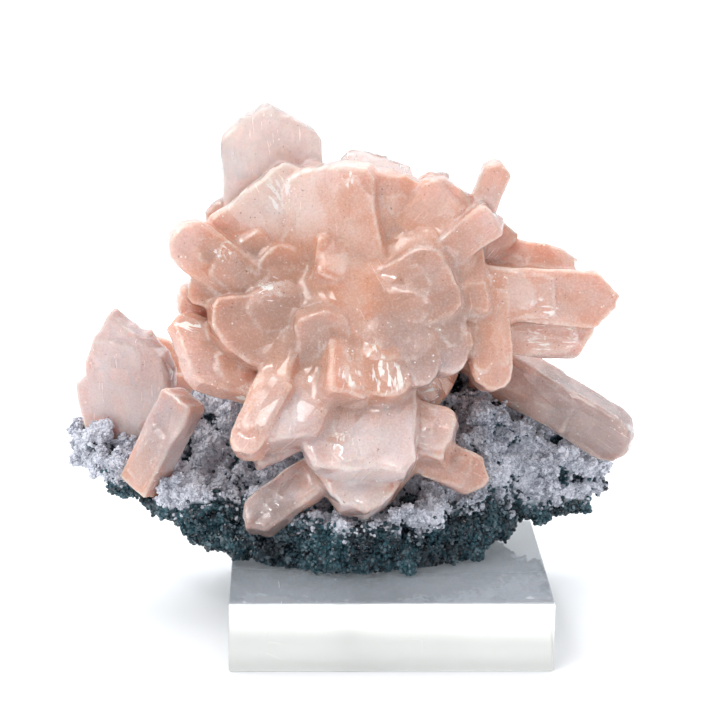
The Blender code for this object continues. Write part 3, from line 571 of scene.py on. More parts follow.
def druse_material(name, settings, dark, light, paleness, scale, crevice_shade=0.9):
    """Glittering grains whose colour drifts from dark to light in patches, with painted shade in their
    crevices.
    """
    material, tree, shader, place = new_material(name)
    crevice = add_node(tree, "ShaderNodeAttribute", attribute_name="crevice").outputs["Fac"]
    patches = noise_value(tree, place, scale, 4.0, 0.6)
    grains = add_node(tree, "ShaderNodeTexVoronoi", {"Vector": place, "Scale": 700.0})
    each = add_node(tree, "ShaderNodeSeparateColor", {0: grains.outputs["Color"]}).outputs[0]
    mixed = calculate(tree, "ADD", remap(tree, patches, 0.35, 0.65, -0.1, 1.0),
                      remap(tree, each, 0.0, 1.0, -0.45, 0.45))
    colour = mix_colours(tree, mixed, dark, light)
    glint = remap(tree, each, 0.86, 0.9, 0.0, paleness)
    colour = mix_colours(tree, glint, colour, settings.frost)
    # Painted shade: the crevices darken towards the night colour.
    colour = mix_colours(tree, remap(tree, crevice, 0.35, 1.0, 0.0, crevice_shade), colour, settings.night)
    tree.links.new(colour, shader.inputs["Base Color"])
    tree.links.new(remap(tree, each, 0.0, 1.0, 0.16, 0.5), shader.inputs["Roughness"])
    shader.inputs["IOR"].default_value = 1.55
    bump = add_node(tree, "ShaderNodeBump", {"Height": noise_value(tree, place, 1500.0, 3.0, 0.6),
                                            "Strength": 0.4, "Distance": 0.0003})
    tree.links.new(bump.outputs["Normal"], shader.inputs["Normal"])
    return material


def show_pale_parts(material, settings):
    """Let the crust's body turn pale where its mask says so."""
    tree = material.node_tree
    shader = tree.nodes["Principled BSDF"]
    dark = shader.inputs["Base Color"].links[0].from_socket
    pale = add_node(tree, "ShaderNodeAttribute", attribute_name="pale").outputs["Fac"]
    light = mix_colours(tree, pale, settings.slate, settings.frost)
    tree.links.new(mix_colours(tree, remap(tree, pale, 0.3, 0.7), dark, light), shader.inputs["Base Color"])


def acrylic_material(name, settings):
    """Polished clear plastic with faint hairline scratches, a little dust and a painted bluish shade on its
    top face.
    """
    material, tree, shader, place = new_material(name)
    shader.inputs["IOR"].default_value = settings.refraction
    hairs = add_node(tree, "ShaderNodeTexVoronoi", {"Vector": stretched(tree, place, (1.0, 0.16, 1.0)),
                                                   "Scale": 60.0}, feature="DISTANCE_TO_EDGE")
    scratch = remap(tree, hairs.outputs["Distance"], 0.004, 0.0)
    broken = remap(tree, noise_value(tree, place, 70.0, 2.0), 0.55, 0.62)
    scratch = calculate(tree, "MULTIPLY", scratch, broken)
    height = add_node(tree, "ShaderNodeSeparateXYZ", {0: place}).outputs[2]
    rubbed = remap(tree, height, 0.0004, 0.0001, 0.0, settings.rubbed)
    above = remap(tree, height, 0.0194, 0.0199)
    # Painted shade and reflection: the top face takes a cool blue colour, the other faces the plastic's ivory.
    tree.links.new(mix_colours(tree, above, (0.965, 0.955, 0.915, 1.0), (0.84, 0.90, 1.0, 1.0)),
                   shader.inputs["Base Color"])
    dust = remap(tree, noise_value(tree, place, 45.0, 4.0, 0.6), 0.3, 0.7, settings.dust * 0.8,
                 settings.dust * 1.2)
    haze = calculate(tree, "MULTIPLY", above, dust)
    tree.links.new(calculate(tree, "SUBTRACT", 1.0, haze), shader.inputs["Transmission Weight"])
    polish = remap(tree, scratch, 0.0, 1.0, 0.012, 0.35)
    tree.links.new(calculate(tree, "MAXIMUM", polish, rubbed), shader.inputs["Roughness"])
    volume = add_node(tree, "ShaderNodeVolumeAbsorption", {"Color": (0.9, 0.88, 0.78, 1.0), "Density": 1.0})
    output = tree.nodes["Material Output"]
    tree.links.new(volume.outputs["Volume"], output.inputs["Volume"])
    return material


def floor_material(settings):
    material, tree, shader, place = new_material("studio_floor")
    shade = noise_value(tree, place, 3.0, 2.0)
    darker = tuple(part * 0.985 for part in settings.floor[:3]) + (1.0,)
    tree.links.new(mix_colours(tree, shade, darker, settings.floor), shader.inputs["Base Color"])
    shader.inputs["Roughness"].default_value = 0.75
    return material


# Shapes

def finished_piece(name, bm, materials, smooth_angle=None):
    """Turn a bmesh in millimetres into an object in metres, at the origin."""
    bmesh.ops.scale(bm, vec=(MM, MM, MM), verts=bm.verts)
    mesh = bpy.data.meshes.new(name)
    bm.to_mesh(mesh)
    bm.free()
    piece = bpy.data.objects.new(name, mesh)
    bpy.context.scene.collection.objects.link(piece)
    for material in materials:
        mesh.materials.append(material)
    if smooth_angle:
        mesh.shade_smooth()
        mesh.set_sharp_from_angle(angle=smooth_angle)
    return piece


def stand_for(piece, slot, *nodes):
    """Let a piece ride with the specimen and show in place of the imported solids."""
    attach(piece, BODY)
    if nodes:
        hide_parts(*nodes)


def cut_in_slices(bm, axis, low, high, step, rng):
    """Cut a shape across one axis at slightly uneven steps."""
    count = max(int((high - low) / step), 1)
    normal = Vector((0, 0, 0))
    normal[axis] = 1
    for number in range(1, count):
        place = low + (number + rng.uniform(-0.25, 0.25)) * (high - low) / count
        bmesh.ops.bisect_plane(bm, geom=bm.verts[:] + bm.edges[:] + bm.faces[:],
                               plane_co=normal * place, plane_no=normal, dist=0.0001)


def blade_solid(blade, seed, settings):
    """One blade with rounded edges, growth ridges and an end left uneven by wear."""
    name, root, tip, facing, width, thickness, root_share, end = blade
    rng = random.Random(seed)
    root, tip = Vector(root), Vector(tip)
    along = (tip - root).normalized()
    normal = Vector(facing)
    normal = (normal - along * normal.dot(along)).normalized()
    across = along.cross(normal)
    length, half = (tip - root).length, width / 2
    bm = bmesh.new()
    points = [(-half * root_share, 0.0), (half * root_share, 0.0)]
    points += [(share * half, length - back * half) for share, back in end]
    face = bm.faces.new([bm.verts.new((x, y, -thickness / 2)) for x, y in points])
    raised = bmesh.ops.extrude_face_region(bm, geom=[face])
    lifted = [item for item in raised["geom"] if isinstance(item, bmesh.types.BMVert)]
    bmesh.ops.translate(bm, vec=(0, 0, thickness), verts=lifted)
    rim = [edge for edge in bm.edges if abs(edge.verts[0].co.z - edge.verts[1].co.z) < 1e-6]
    marked = bm.faces.layers.float.new("chamfer")
    for face in bm.faces:
        face[marked] = 0.0
    chamfer = bmesh.ops.bevel(bm, geom=rim, offset=min(settings.edge_round / MM, thickness * 0.28),
                              segments=2, profile=0.5, affect="EDGES", clamp_overlap=True, material=-1)
    for face in chamfer["faces"]:
        face[marked] = 1.0
    bmesh.ops.recalc_face_normals(bm, faces=bm.faces)
    cut_in_slices(bm, 0, -half, half, settings.cut_across / MM, rng)
    cut_in_slices(bm, 1, 0.0, length, settings.cut_along / MM, rng)
    wear_blade(bm, seed, length, half, thickness, settings)
    paint_blade(bm, name, seed, length)
    frame_of_blade = Matrix((across, along, normal)).transposed().to_4x4()
    bmesh.ops.transform(bm, matrix=Matrix.Translation(root) @ frame_of_blade, verts=bm.verts)
    bmesh.ops.triangulate(bm, faces=[face for face in bm.faces if len(face.verts) > 4])
    return bm


def wear_blade(bm, seed, length, half, thickness, settings):
    """Raise ridges along the broad faces and leave the end and the sides uneven."""
    ridge, wear = settings.ridge_height / MM, settings.end_wear / MM
    for vert in bm.verts:
        x, y, z = vert.co
        side = math.copysign(1.0, z)
        if abs(z) > thickness * 0.2:
            ridges = noise.noise(Vector((x * 0.9, y * 0.05, seed * 3.1 + side)))
            swell = noise.noise(Vector((x * 0.14, y * 0.10, seed * 5.7 + side)))
            vert.co.z += side * (ridge * ridges * 0.8 + ridge * swell * 2.5)
        near_end = min(max((y - length + half) / half, 0.0), 1.0)
        steps = noise.noise(Vector((x * 0.55, seed * 2.3, z * 0.3)))
        fine = noise.noise(Vector((x * 1.9, seed * 4.1, z * 0.8)))
        vert.co.y += near_end * wear * (steps * 0.9 + fine * 0.5 - 0.3)
        near_side = min(abs(x) / half, 1.0) ** 4
        vert.co.x += near_side * wear * 0.45 * noise.noise(Vector((y * 0.35, seed * 1.7 + side, z * 0.4)))


def paint_blade(bm, name, seed, length):
    """Store where each corner lies on its blade, and the blade's tint and painted light there."""
    grid = bm.loops.layers.uv.new("grown")
    tint = bm.loops.layers.float_color.new("tint")
    rim = bm.loops.layers.float.new("edge")
    marked = bm.faces.layers.float.get("chamfer")
    warm, pale, clear = TINTS.get(name, PLAIN_TINT)
    # Painted light and shade: the fourth channel makes each blade a little lighter or darker, and a glint
    # blade bright.
    light = 1.1 if name == "glint" else 0.5 + 0.14 * math.sin(seed * 2.4)
    for face in bm.faces:
        for corner in face.loops:
            corner[rim] = face[marked] if marked else 0.0
            x, y, z = corner.vert.co
            corner[grid].uv = ((x + z * 0.6 + seed * 37.0) * MM, (y + seed * 11.0) * MM)
            grown = min(max(y / length, 0.0), 1.0)
            corner[tint] = (warm + 0.5 * (1 - grown) ** 2, pale * (0.35 + 0.65 * grown),
                            clear * grown ** 1.5, light)


def blade_with_scales(blade, seed, settings):
    """A blade and the thin scales that rise out of its faces."""
    name, root, tip, facing, width, thickness, root_share, end = blade
    solids = [blade_solid(blade, seed, settings)]
    if width < NARROWEST_SCALED:
        return solids
    rng = random.Random(seed + 500)
    root, tip = Vector(root), Vector(tip)
    along = (tip - root).normalized()
    normal = Vector(facing)
    normal = (normal - along * normal.dot(along)).normalized()
    across = along.cross(normal)
    length = (tip - root).length
    for number in range(SCALES_PER_FACE * 2):
        side = 1 if number % 2 else -1
        wide = width * rng.uniform(*SCALE_WIDTHS)
        long = length * rng.uniform(*SCALE_LENGTHS)
        tilt = math.radians(rng.uniform(*SCALE_TILTS))
        sway = rng.uniform(-0.16, 0.16)
        heading = (along * math.cos(tilt) + normal * side * math.sin(tilt) + across * sway).normalized()
        place = root + along * (length * rng.uniform(0.55, 0.97))
        place += across * rng.uniform(-0.5, 0.5) * (width - wide)
        place += normal * side * (thickness / 2 + rng.uniform(*SCALE_RISE) - SCALE_THICKNESS / 2)
        scale = (name, place - heading * long, place, normal, wide, SCALE_THICKNESS, 1.0,
                 rng.choice(SCALE_ENDS))
        solids.append(blade_solid(scale, seed * 10 + number, settings))
    return solids


def joined_solid(first, others):
    """The union of a closed bmesh with many others, as a bmesh in millimetres."""
    base = scratch_object(first)
    helpers = [base]
    for other in others:
        helper = scratch_object(other)
        helpers.append(helper)
        modifier = base.modifiers.new("join", "BOOLEAN")
        modifier.object = helper
        modifier.operation = "UNION"
        modifier.solver = "MANIFOLD"
    graph = bpy.context.evaluated_depsgraph_get()
    mesh = bpy.data.meshes.new_from_object(base.evaluated_get(graph))
    joined = bmesh.new()
    joined.from_mesh(mesh)
    bpy.data.meshes.remove(mesh)
    for helper in helpers:
        data = helper.data
        bpy.data.objects.remove(helper)
        bpy.data.meshes.remove(data)
    return joined


def scratch_object(bm):
    mesh = bpy.data.meshes.new("scratch")
    bm.to_mesh(mesh)
    bm.free()
    made = bpy.data.objects.new("scratch", mesh)
    bpy.context.scene.collection.objects.link(made)
    return made


def node_bmesh(name):
    """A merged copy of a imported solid, in millimetres."""
    bm = bmesh.new()
    bm.from_mesh(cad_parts[name].data)
    bmesh.ops.scale(bm, vec=(1 / MM, 1 / MM, 1 / MM), verts=bm.verts)
    bmesh.ops.remove_doubles(bm, verts=bm.verts, dist=0.0005)
    return bm


def even_directions(count):
    """Directions spread evenly over the half sphere about +Z."""
    turn = math.pi * (3 - math.sqrt(5))
    found = []
    for number in range(count):
        height = (number + 0.5) / count
        reach = math.sqrt(1 - height * height)
        found.append(Vector((math.cos(turn * number) * reach, math.sin(turn * number) * reach, height)))
    return found


def mark_crevices(bm, walls, reach, rays=10):
    """Store how much each vertex is closed in by the shapes around it, from 0 to 1."""
    layer = bm.verts.layers.float.new("crevice")
    directions = even_directions(rays)
    bm.normal_update()
    for vert in bm.verts:
        turn = vert.normal.to_track_quat("Z", "Y")
        start = vert.co + vert.normal * 0.25
        closed = 0.0
        for direction in directions:
            distance = walls.ray_cast(start, turn @ direction, reach)[3]
            if distance is not None:
                closed += 1 - distance / reach
        vert[layer] = closed / rays


def split_long_edges(bm, longest):
    """Divide edges until none is longer than the limit."""
    while True:
        found = [edge for edge in bm.edges if edge.calc_length() > longest]
        if not found:
            return
        bmesh.ops.subdivide_edges(bm, edges=found, cuts=1)
        bmesh.ops.triangulate(bm, faces=[face for face in bm.faces if len(face.verts) > 3])


def heart_solid():
    bm = bmesh.new()
    bmesh.ops.create_icosphere(bm, subdivisions=3, radius=1.0)
    bmesh.ops.scale(bm, vec=HEART_RADII, verts=bm.verts)
    bmesh.ops.translate(bm, vec=HEART_CENTRE, verts=bm.verts)
    paint_blade(bm, "heart", 0, 1.0)
    return bm


def remeshed(bm, voxel):
    """An even mesh of a closed form, in millimetres."""
    body = scratch_object(bm.copy())
    modifier = body.modifiers.new("even", "REMESH")
    modifier.mode = "VOXEL"
    modifier.voxel_size = voxel
    graph = bpy.context.evaluated_depsgraph_get()
    mesh = bpy.data.meshes.new_from_object(body.evaluated_get(graph))
    made = bmesh.new()
    made.from_mesh(mesh)
    data = body.data
    bpy.data.objects.remove(body)
    bpy.data.meshes.remove(data)
    bpy.data.meshes.remove(mesh)
    return made


def melted(bm, voxel, passes, kept=1.0):
    """The same form as one even skin, its hollows filled where crystals grow together."""
    walls = BVHTree.FromBMesh(bm)
    bm.faces.ensure_lookup_table()
    old_tint, old_edge = bm.loops.layers.float_color["tint"], bm.loops.layers.float["edge"]
    old_grown = bm.loops.layers.uv["grown"]
    skin = remeshed(bm, voxel)
    tint = skin.verts.layers.float_color.new("tint")
    edge = skin.verts.layers.float.new("edge")
    grown = skin.verts.layers.float_vector.new("grown")
    for vert in skin.verts:
        place, _, number, _ = walls.find_nearest(vert.co)
        corners = bm.faces[number].loops
        shares = interpolate.poly_3d_calc([corner.vert.co for corner in corners], place)
        spot = Vector((0, 0))
        for corner, share in zip(corners, shares):
            spot += corner[old_grown].uv * share
        vert[tint] = corners[0][old_tint]
        vert[edge] = corners[0][old_edge]
        vert[grown] = (*spot, 0.0)
    bm.free()
    mesh = bpy.data.meshes.new("skin")
    skin.to_mesh(mesh)
    skin.free()
    fill_hollows(mesh, passes)
    return thinned(mesh, kept)


def thinned(mesh, kept):
    """A lighter copy of a mesh that keeps the given share of its triangles."""
    body = bpy.data.objects.new("scratch", mesh)
    bpy.context.scene.collection.objects.link(body)
    modifier = body.modifiers.new("thin", "DECIMATE")
    modifier.ratio = kept
    graph = bpy.context.evaluated_depsgraph_get()
    lighter = bpy.data.meshes.new_from_object(body.evaluated_get(graph))
    thin = bmesh.new()
    thin.from_mesh(lighter)
    bpy.data.objects.remove(body)
    bpy.data.meshes.remove(mesh)
    bpy.data.meshes.remove(lighter)
    return thin


def fill_hollows(mesh, passes):
    """Raise the hollows of a mesh and leave its outer edges crisp."""
    count = len(mesh.vertices)
    ends = np.empty(len(mesh.edges) * 2, dtype=np.int32)
    mesh.edges.foreach_get("vertices", ends)
    first, second = ends.reshape(-1, 2).T
    places = np.empty(count * 3)
    mesh.vertices.foreach_get("co", places)
    places = places.reshape(-1, 3)
    shares = np.array([melt_share(vert.co) for vert in mesh.vertices])
    neighbours = np.bincount(ends, minlength=count)
    normals = np.empty(count * 3)
    for _ in range(passes):
        mesh.vertex_normals.foreach_get("vector", normals)
        facing = normals.reshape(-1, 3)
        middle = np.empty_like(places)
        for axis in range(3):
            middle[:, axis] = np.bincount(first, places[second, axis], count)
            middle[:, axis] += np.bincount(second, places[first, axis], count)
        middle /= neighbours[:, None]
        lift = np.clip(((middle - places) * facing).sum(axis=1), 0.0, None) * shares
        places += facing * lift[:, None]
        mesh.vertices.foreach_set("co", places.ravel())
        mesh.update()


def melt_share(place):
    """How far the crystals are grown together at a place, from 0 to 1."""
    away = [(place[axis] - MELT_CENTRE[axis]) / MELT_RADII[axis] for axis in range(3)]
    reach = math.sqrt(sum(part * part for part in away))
    return min(max(1.7 - 1.2 * reach + 0.3 * noise.noise(Vector(place) * 0.08), 0.12), 1.0)


def swollen(bm, amount):
    """Low swells over a skin, so that no face stays machine flat."""
    bm.normal_update()
    moves = [vert.normal * amount * noise.fractal(vert.co * 0.12, 1.0, 2.0, 2) for vert in bm.verts]
    for vert, move in zip(bm.verts, moves):
        vert.co += move


def seen_spots(bm):
    """Where the camera sees the sparkling patches on a skin, with their reaches."""
    walls = BVHTree.FromBMesh(bm)
    eye = Vector(CAMERA_PLACE)
    spots = []
    for *place, reach in SPARKLES:
        hit = walls.ray_cast(eye, (Vector(place) - eye).normalized())[0]
        if hit is not None:
            spots.append((hit, reach))
    return spots


def mark_sparkles(bm):
    """Store how much of each vertex lies in a patch of painted glints, from 0 to 1."""
    layer = bm.verts.layers.float.new("sparkle")
    spots = seen_spots(bm)
    for vert in bm.verts:
        share = 0.0
        for spot, reach in spots:
            away = (vert.co - spot).length / reach
            share = max(share, 1.5 - away + 0.5 * noise.noise(vert.co * 0.5))
        vert[layer] = min(max(share, 0.0), 1.0)


def stained(bm):
    """Add the patches of other tints, and of painted light and shade, that lie across several blades."""
    tint = bm.verts.layers.float_color["tint"]
    for vert in bm.verts:
        added = Vector((0, 0, 0, 0))
        for x, y, z, reach, *more in STAINS:
            away = (vert.co - Vector((x, y, z))).length / reach
            share = min(max(1.3 - away + 0.4 * noise.noise(vert.co * 0.15), 0.0), 1.0)
            added += Vector(more) * share
        vert[tint] = [max(part, 0.0) for part in vert[tint] + added]


def bud_solids(bm, settings, lot, behind):
    """A lot of small crystals that lie like shingles on the grown-together part of a skin."""
    seed, count, spacing, out, leans, lengths, widths, thicknesses = lot
    rng = random.Random(seed)
    middle, radii = Vector(MELT_CENTRE), Vector(MELT_RADII)
    faces = [face for face in bm.faces if face.calc_area() > 0.01]
    totals = list(itertools.accumulate(face.calc_area() for face in faces))
    places, solids = [], []
    while len(solids) < count:
        face = faces[bisect.bisect(totals, rng.uniform(0, totals[-1] * 0.9999))]
        place, normal = face.calc_center_median(), face.normal.copy()
        away = place - middle
        reach = Vector([part / radius for part, radius in zip(away, radii)]).length
        near = any((place - other).length < spacing for other in places)
        aside = behind and (place.y < BUD_PARTING or normal.y < 0.2)
        if near or aside or reach > 1.0 or place.z < BUD_LOWEST:
            continue
        outward = (away - normal * away.dot(normal)).normalized()
        sideways = normal.cross(outward)
        turn = math.radians(rng.gauss(0, 16))
        heading = outward * math.cos(turn) + sideways * math.sin(turn)
        lean = math.radians(rng.uniform(*leans))
        heading = heading * math.cos(lean) + normal * math.sin(lean)
        long = rng.uniform(*lengths)
        bud = ("bud", place - heading * long * (1 - out), place + heading * long * out, normal,
               rng.uniform(*widths), rng.uniform(*thicknesses), 0.9, rng.choice(SCALE_ENDS))
        places.append(place)
        solids.append(blade_solid(bud, (4000 if behind else 3000) + len(solids), settings))
    return solids


class SPECIMEN_OT_grow_cluster(bpy.types.Operator):
    """Grow the stilbite cluster from its blades and join them in one skin"""
    bl_idname = "specimen.grow_cluster"
    bl_label = "Grow the cluster"

    def execute(self, context):
        settings = context.scene.stilbite_blades
        solids = []
        for number, blade in enumerate(CLUSTER):
            solids += blade_with_scales(blade, number + 1, settings)
        grown = joined_solid(heart_solid(), solids)
        grown.normal_update()
        buds = bud_solids(grown, settings, BUDS_AROUND, False) + bud_solids(grown, settings, BUDS_BEHIND, True)
        cluster = joined_solid(grown, buds)
        cluster = melted(cluster, settings.voxel / MM, settings.melting, KEPT_SHARE)
        swollen(cluster, 0.5)
        stained(cluster)
        mark_crevices(cluster, BVHTree.FromBMesh(cluster), 7.0)
        mark_sparkles(cluster)
        material = stilbite_material("stilbite_peach_crystal", settings)
        piece = finished_piece("stilbite_cluster_fine", cluster, [material], math.radians(40))
        stand_for(piece, "stilbite_peach", "stilbite_cluster")
        return {"FINISHED"}


class SPECIMEN_OT_stand_single_blades(bpy.types.Operator):
    """Grow each blade that stands by itself in the crust"""
    bl_idname = "specimen.stand_single_blades"
    bl_label = "Stand the single blades"

    def execute(self, context):
        settings = context.scene.stilbite_blades
        material = stilbite_material("stilbite_pale_crystal", settings)
        for number, blade in enumerate(SINGLE_BLADES):
            first, *others = blade_with_scales(blade, number + 101, settings)
            grown = melted(joined_solid(first, others), settings.voxel / MM, 3)
            swollen(grown, 0.4)
            stained(grown)
            mark_crevices(grown, BVHTree.FromBMesh(grown), 7.0)
            piece = finished_piece(blade[0] + "_fine", grown, [material], math.radians(40))
            stand_for(piece, "stilbite_pale", blade[0])
        return {"FINISHED"}


NOISE_SEED = 11
KNOB_SINK = 0.4


def crust_paleness(place, facing_up, height):
    """How pale the druse is at a place of the crust, from 0 to 1."""
    sideways = abs(place.x + 6) / 74
    underside = 20 + 17 * min(sideways, 1.0) ** 1.6 - 6 * min(max((place.x - 25) / 25, 0.0), 1.0)
    dark_band = 10 * max(1 - sideways ** 1.5, 0.0) + 2
    patch = noise.fractal(place * 0.09, 1.0, 2.0, 2)
    above = (place.z - underside - dark_band + 4 * patch) / 4
    share = min(max(above, 0.0), 1.0) * min(max(1.2 + height * 1.3 + facing_up * 0.25, 0.0), 1.0)
    return min(max(share, 0.0), 1.0)


def knobbly_crust(settings):
    """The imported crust's form with knobs and cavities, and how high each vertex was moved."""
    noise.seed_set(NOISE_SEED)
    bm = remeshed(node_bmesh("crust"), settings.voxel / MM)
    bm.normal_update()
    layer = bm.verts.layers.float.new("height")
    moves = []
    for vert in bm.verts:
        warped = vert.co + noise.noise_vector(vert.co * 0.22) * 1.6
        lump = 0.5 - min(noise.voronoi(warped * 0.155)[0][0], 1.0)
        knob = 0.5 - min(noise.voronoi(warped * 0.36)[0][0], 1.0)
        bud = 0.5 - min(noise.voronoi(warped * 0.8)[0][0], 1.0)
        drift = noise.fractal(vert.co * 0.10, 1.0, 2.0, 3)
        height = lump * 1.7 + knob * 1.1 + bud * 0.45 + drift * 1.0
        vert[layer] = height
        if vert.co.z < 21.4 and vert.normal.z < -0.5:
            height = KNOB_SINK
        moves.append(vert.normal * (height - KNOB_SINK) * settings.knob_height / MM)
    for vert, move in zip(bm.verts, moves):
        vert.co += move
    return bm


class SPECIMEN_OT_shape_crust(bpy.types.Operator):
    """Shape the crust's knobbly body and mark where its druse is dark or pale"""
    bl_idname = "specimen.shape_crust"
    bl_label = "Shape the crust"

    def execute(self, context):
        settings = context.scene.stilbite_crust
        crust = knobbly_crust(settings)
        mark_crevices(crust, BVHTree.FromBMesh(crust), 6.0, 8)
        pale_layer = crust.verts.layers.float.new("pale")
        masks = {name: crust.verts.layers.float.new(name) for name in DRUSE_PIECES}
        height = crust.verts.layers.float["height"]
        for vert in crust.verts:
            pale = crust_paleness(vert.co, vert.normal.z, vert[height])
            vert[pale_layer] = pale
            front = vert.co.y < DRUSE_PARTING
            vert[masks["dark_druse_front"]] = (1 - pale) * front
            vert[masks["dark_druse_back"]] = (1 - pale) * (not front)
            vert[masks["pale_druse_front"]] = pale * front
            vert[masks["pale_druse_back"]] = pale * (not front)
        material = druse_material("crust_body", settings, settings.night, settings.teal, 0.1, 90.0)
        show_pale_parts(material, settings)
        piece = finished_piece("crust_fine", crust, [material], math.radians(60))
        stand_for(piece, "crust_druse", "crust")
        return {"FINISHED"}


# Druse pieces, as name: (radius setting, spacing in radii, smallest and largest
# size as shares of the radius, seed).
DRUSE_PARTING = 12.0
DRUSE_PIECES = {
    "dark_druse_front": ("dark_grain", 1.35, (0.65, 1.2), 3),
    "dark_druse_back": ("dark_grain", 1.5, (0.7, 1.25), 5),
    "pale_druse_front": ("pale_grain", 1.25, (0.7, 1.5), 7),
    "pale_druse_back": ("pale_grain", 1.5, (0.7, 1.5), 9),
}


def grain_group(name, radius, spacing, sizes, seed):
    """Geometry nodes that lay real grains over a surface where its mask is set."""
    tree = bpy.data.node_groups.new(name, "GeometryNodeTree")
    tree.interface.new_socket("Geometry", in_out="INPUT", socket_type="NodeSocketGeometry")
    tree.interface.new_socket("Geometry", in_out="OUTPUT", socket_type="NodeSocketGeometry")
    surface = tree.nodes.new("NodeGroupInput").outputs["Geometry"]
    mask = add_node(tree, "GeometryNodeInputNamedAttribute", {"Name": name}, data_type="FLOAT")
    points = add_node(tree, "GeometryNodeDistributePointsOnFaces", {
        "Mesh": surface, "Distance Min": radius * spacing, "Density Max": 3.0e6,
        "Density Factor": mask.outputs["Attribute"], "Seed": seed}, distribute_method="POISSON")
    grain = add_node(tree, "GeometryNodeMeshIcoSphere", {"Radius": radius, "Subdivisions": 1})
    turn = add_node(tree, "FunctionNodeRandomValue", {0: (0, 0, 0), 1: (math.tau, math.tau, math.tau),
                                                      "Seed": seed}, data_type="FLOAT_VECTOR")
    size = add_node(tree, "FunctionNodeRandomValue", {0: (sizes[0],) * 3, 1: (sizes[1],) * 3,
                                                      "Seed": seed + 1}, data_type="FLOAT_VECTOR")
    laid = add_node(tree, "GeometryNodeInstanceOnPoints", {
        "Points": points.outputs["Points"], "Instance": grain.outputs["Mesh"],
        "Rotation": turn.outputs[0], "Scale": size.outputs[0]})
    real = add_node(tree, "GeometryNodeRealizeInstances", {"Geometry": laid.outputs["Instances"]})
    outlet = tree.nodes.new("NodeGroupOutput")
    tree.links.new(real.outputs["Geometry"], outlet.inputs["Geometry"])
    return tree


def lay_grains(name, surface, settings, material):
    """Real grains over the crust as one mesh piece."""
    size_name, spacing, sizes, seed = DRUSE_PIECES[name]
    radius = getattr(settings, size_name)
    modifier = surface.modifiers.new(name, "NODES")
    modifier.node_group = grain_group(name, radius, spacing, sizes, seed)
    graph = bpy.context.evaluated_depsgraph_get()
    mesh = bpy.data.meshes.new_from_object(surface.evaluated_get(graph))
    surface.modifiers.remove(modifier)
    mesh.name = name
    mesh.materials.clear()
    mesh.materials.append(material)
    if not len(mesh.polygons):
        raise RuntimeError(f"{name} has no grains")
    piece = bpy.data.objects.new(name, mesh)
    bpy.context.scene.collection.objects.link(piece)
    return piece


class SPECIMEN_OT_lay_druse(bpy.types.Operator):
    """Lay the dark and the pale druse grains over the crust"""
    bl_idname = "specimen.lay_druse"
    bl_label = "Lay the druse"

    def execute(self, context):
        settings = context.scene.stilbite_crust
        surface = bpy.data.objects["crust_fine"]
        dark = druse_material("dark_druse", settings, settings.night, settings.teal, 0.15, 70.0)
        pale = druse_material("pale_druse", settings, settings.slate, settings.frost, 0.8, 60.0, 0.3)
        for name in DRUSE_PIECES:
            piece = lay_grains(name, surface, settings, dark if name.startswith("dark") else pale)
            stand_for(piece, "crust_druse")
        return {"FINISHED"}


class SPECIMEN_OT_polish_block(bpy.types.Operator):
    """Cut the clear block with its polished edges"""
    bl_idname = "specimen.polish_block"
    bl_label = "Polish the block"

    def execute(self, context):
        settings = context.scene.stilbite_block
        low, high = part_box("acrylic_block")
        bm = bmesh.new()
        bmesh.ops.create_cube(bm, size=1.0)
        bmesh.ops.scale(bm, vec=(high - low) / MM, verts=bm.verts)
        bmesh.ops.translate(bm, vec=(high + low) / 2 / MM, verts=bm.verts)
        bmesh.ops.bevel(bm, geom=list(bm.edges), offset=settings.edge_round / MM, segments=3,
                        profile=0.5, affect="EDGES", clamp_overlap=True, material=-1)
        material = acrylic_material("clear_acrylic", settings)
        piece = finished_piece("clear_block", bm, [material], math.radians(40))
        stand_for(piece, "acrylic", "acrylic_block")
        return {"FINISHED"}


# Studio

FLOOR_REACH = 9000.0
FLOOR_DROP = 0.05
TOP_FROM = (-0.15, 0.25, 1.0)
KEY_FROM = (-0.6, -0.55, 0.9)
TOP_SPREAD = math.radians(100)
KEY_SPREAD = math.radians(24)
SPARK_FROM = (-0.35, -0.8, 0.9)
SPARK_SPREAD = math.radians(6)


def add_camera():
    """The photo's camera, with its small roll."""
    sight = Vector((math.sin(CAMERA_YAW) * math.cos(CAMERA_PITCH),
                    math.cos(CAMERA_YAW) * math.cos(CAMERA_PITCH), -math.sin(CAMERA_PITCH)))
    right = sight.cross(Vector((0, 0, 1))).normalized()
    up = right.cross(sight)
    rolled_right = right * math.cos(CAMERA_ROLL) + up * math.sin(CAMERA_ROLL)
    rolled_up = up * math.cos(CAMERA_ROLL) - right * math.sin(CAMERA_ROLL)
    camera = bpy.data.objects.new("camera", bpy.data.cameras.new("camera"))
    camera.data.sensor_width = SENSOR_WIDTH
    camera.data.lens = FOCAL_PIXELS / PHOTO_PIXELS * SENSOR_WIDTH
    turn = Matrix((rolled_right, rolled_up, -sight)).transposed().to_4x4()
    camera.matrix_world = Matrix.Translation(Vector(CAMERA_PLACE) * MM) @ turn
    bpy.context.scene.collection.objects.link(camera)
    bpy.context.scene.camera = camera


def add_lamp(name, source, spread, strength, colour):
    """A broad far light that shines from the given side."""
    lamp = bpy.data.lights.new(name, "SUN")
    lamp.angle = spread
    lamp.energy = strength
    lamp.color = colour
    holder = bpy.data.objects.new(name, lamp)
    holder.rotation_euler = Vector(source).to_track_quat("Z", "Y").to_euler()
    bpy.context.scene.collection.objects.link(holder)


def add_floor(settings):
    bm = bmesh.new()
    bmesh.ops.create_circle(bm, cap_ends=True, cap_tris=False, segments=96, radius=FLOOR_REACH)
    bmesh.ops.translate(bm, vec=(0, 0, -FLOOR_DROP), verts=bm.verts)
    floor = finished_piece("studio_floor", bm, [floor_material(settings)])


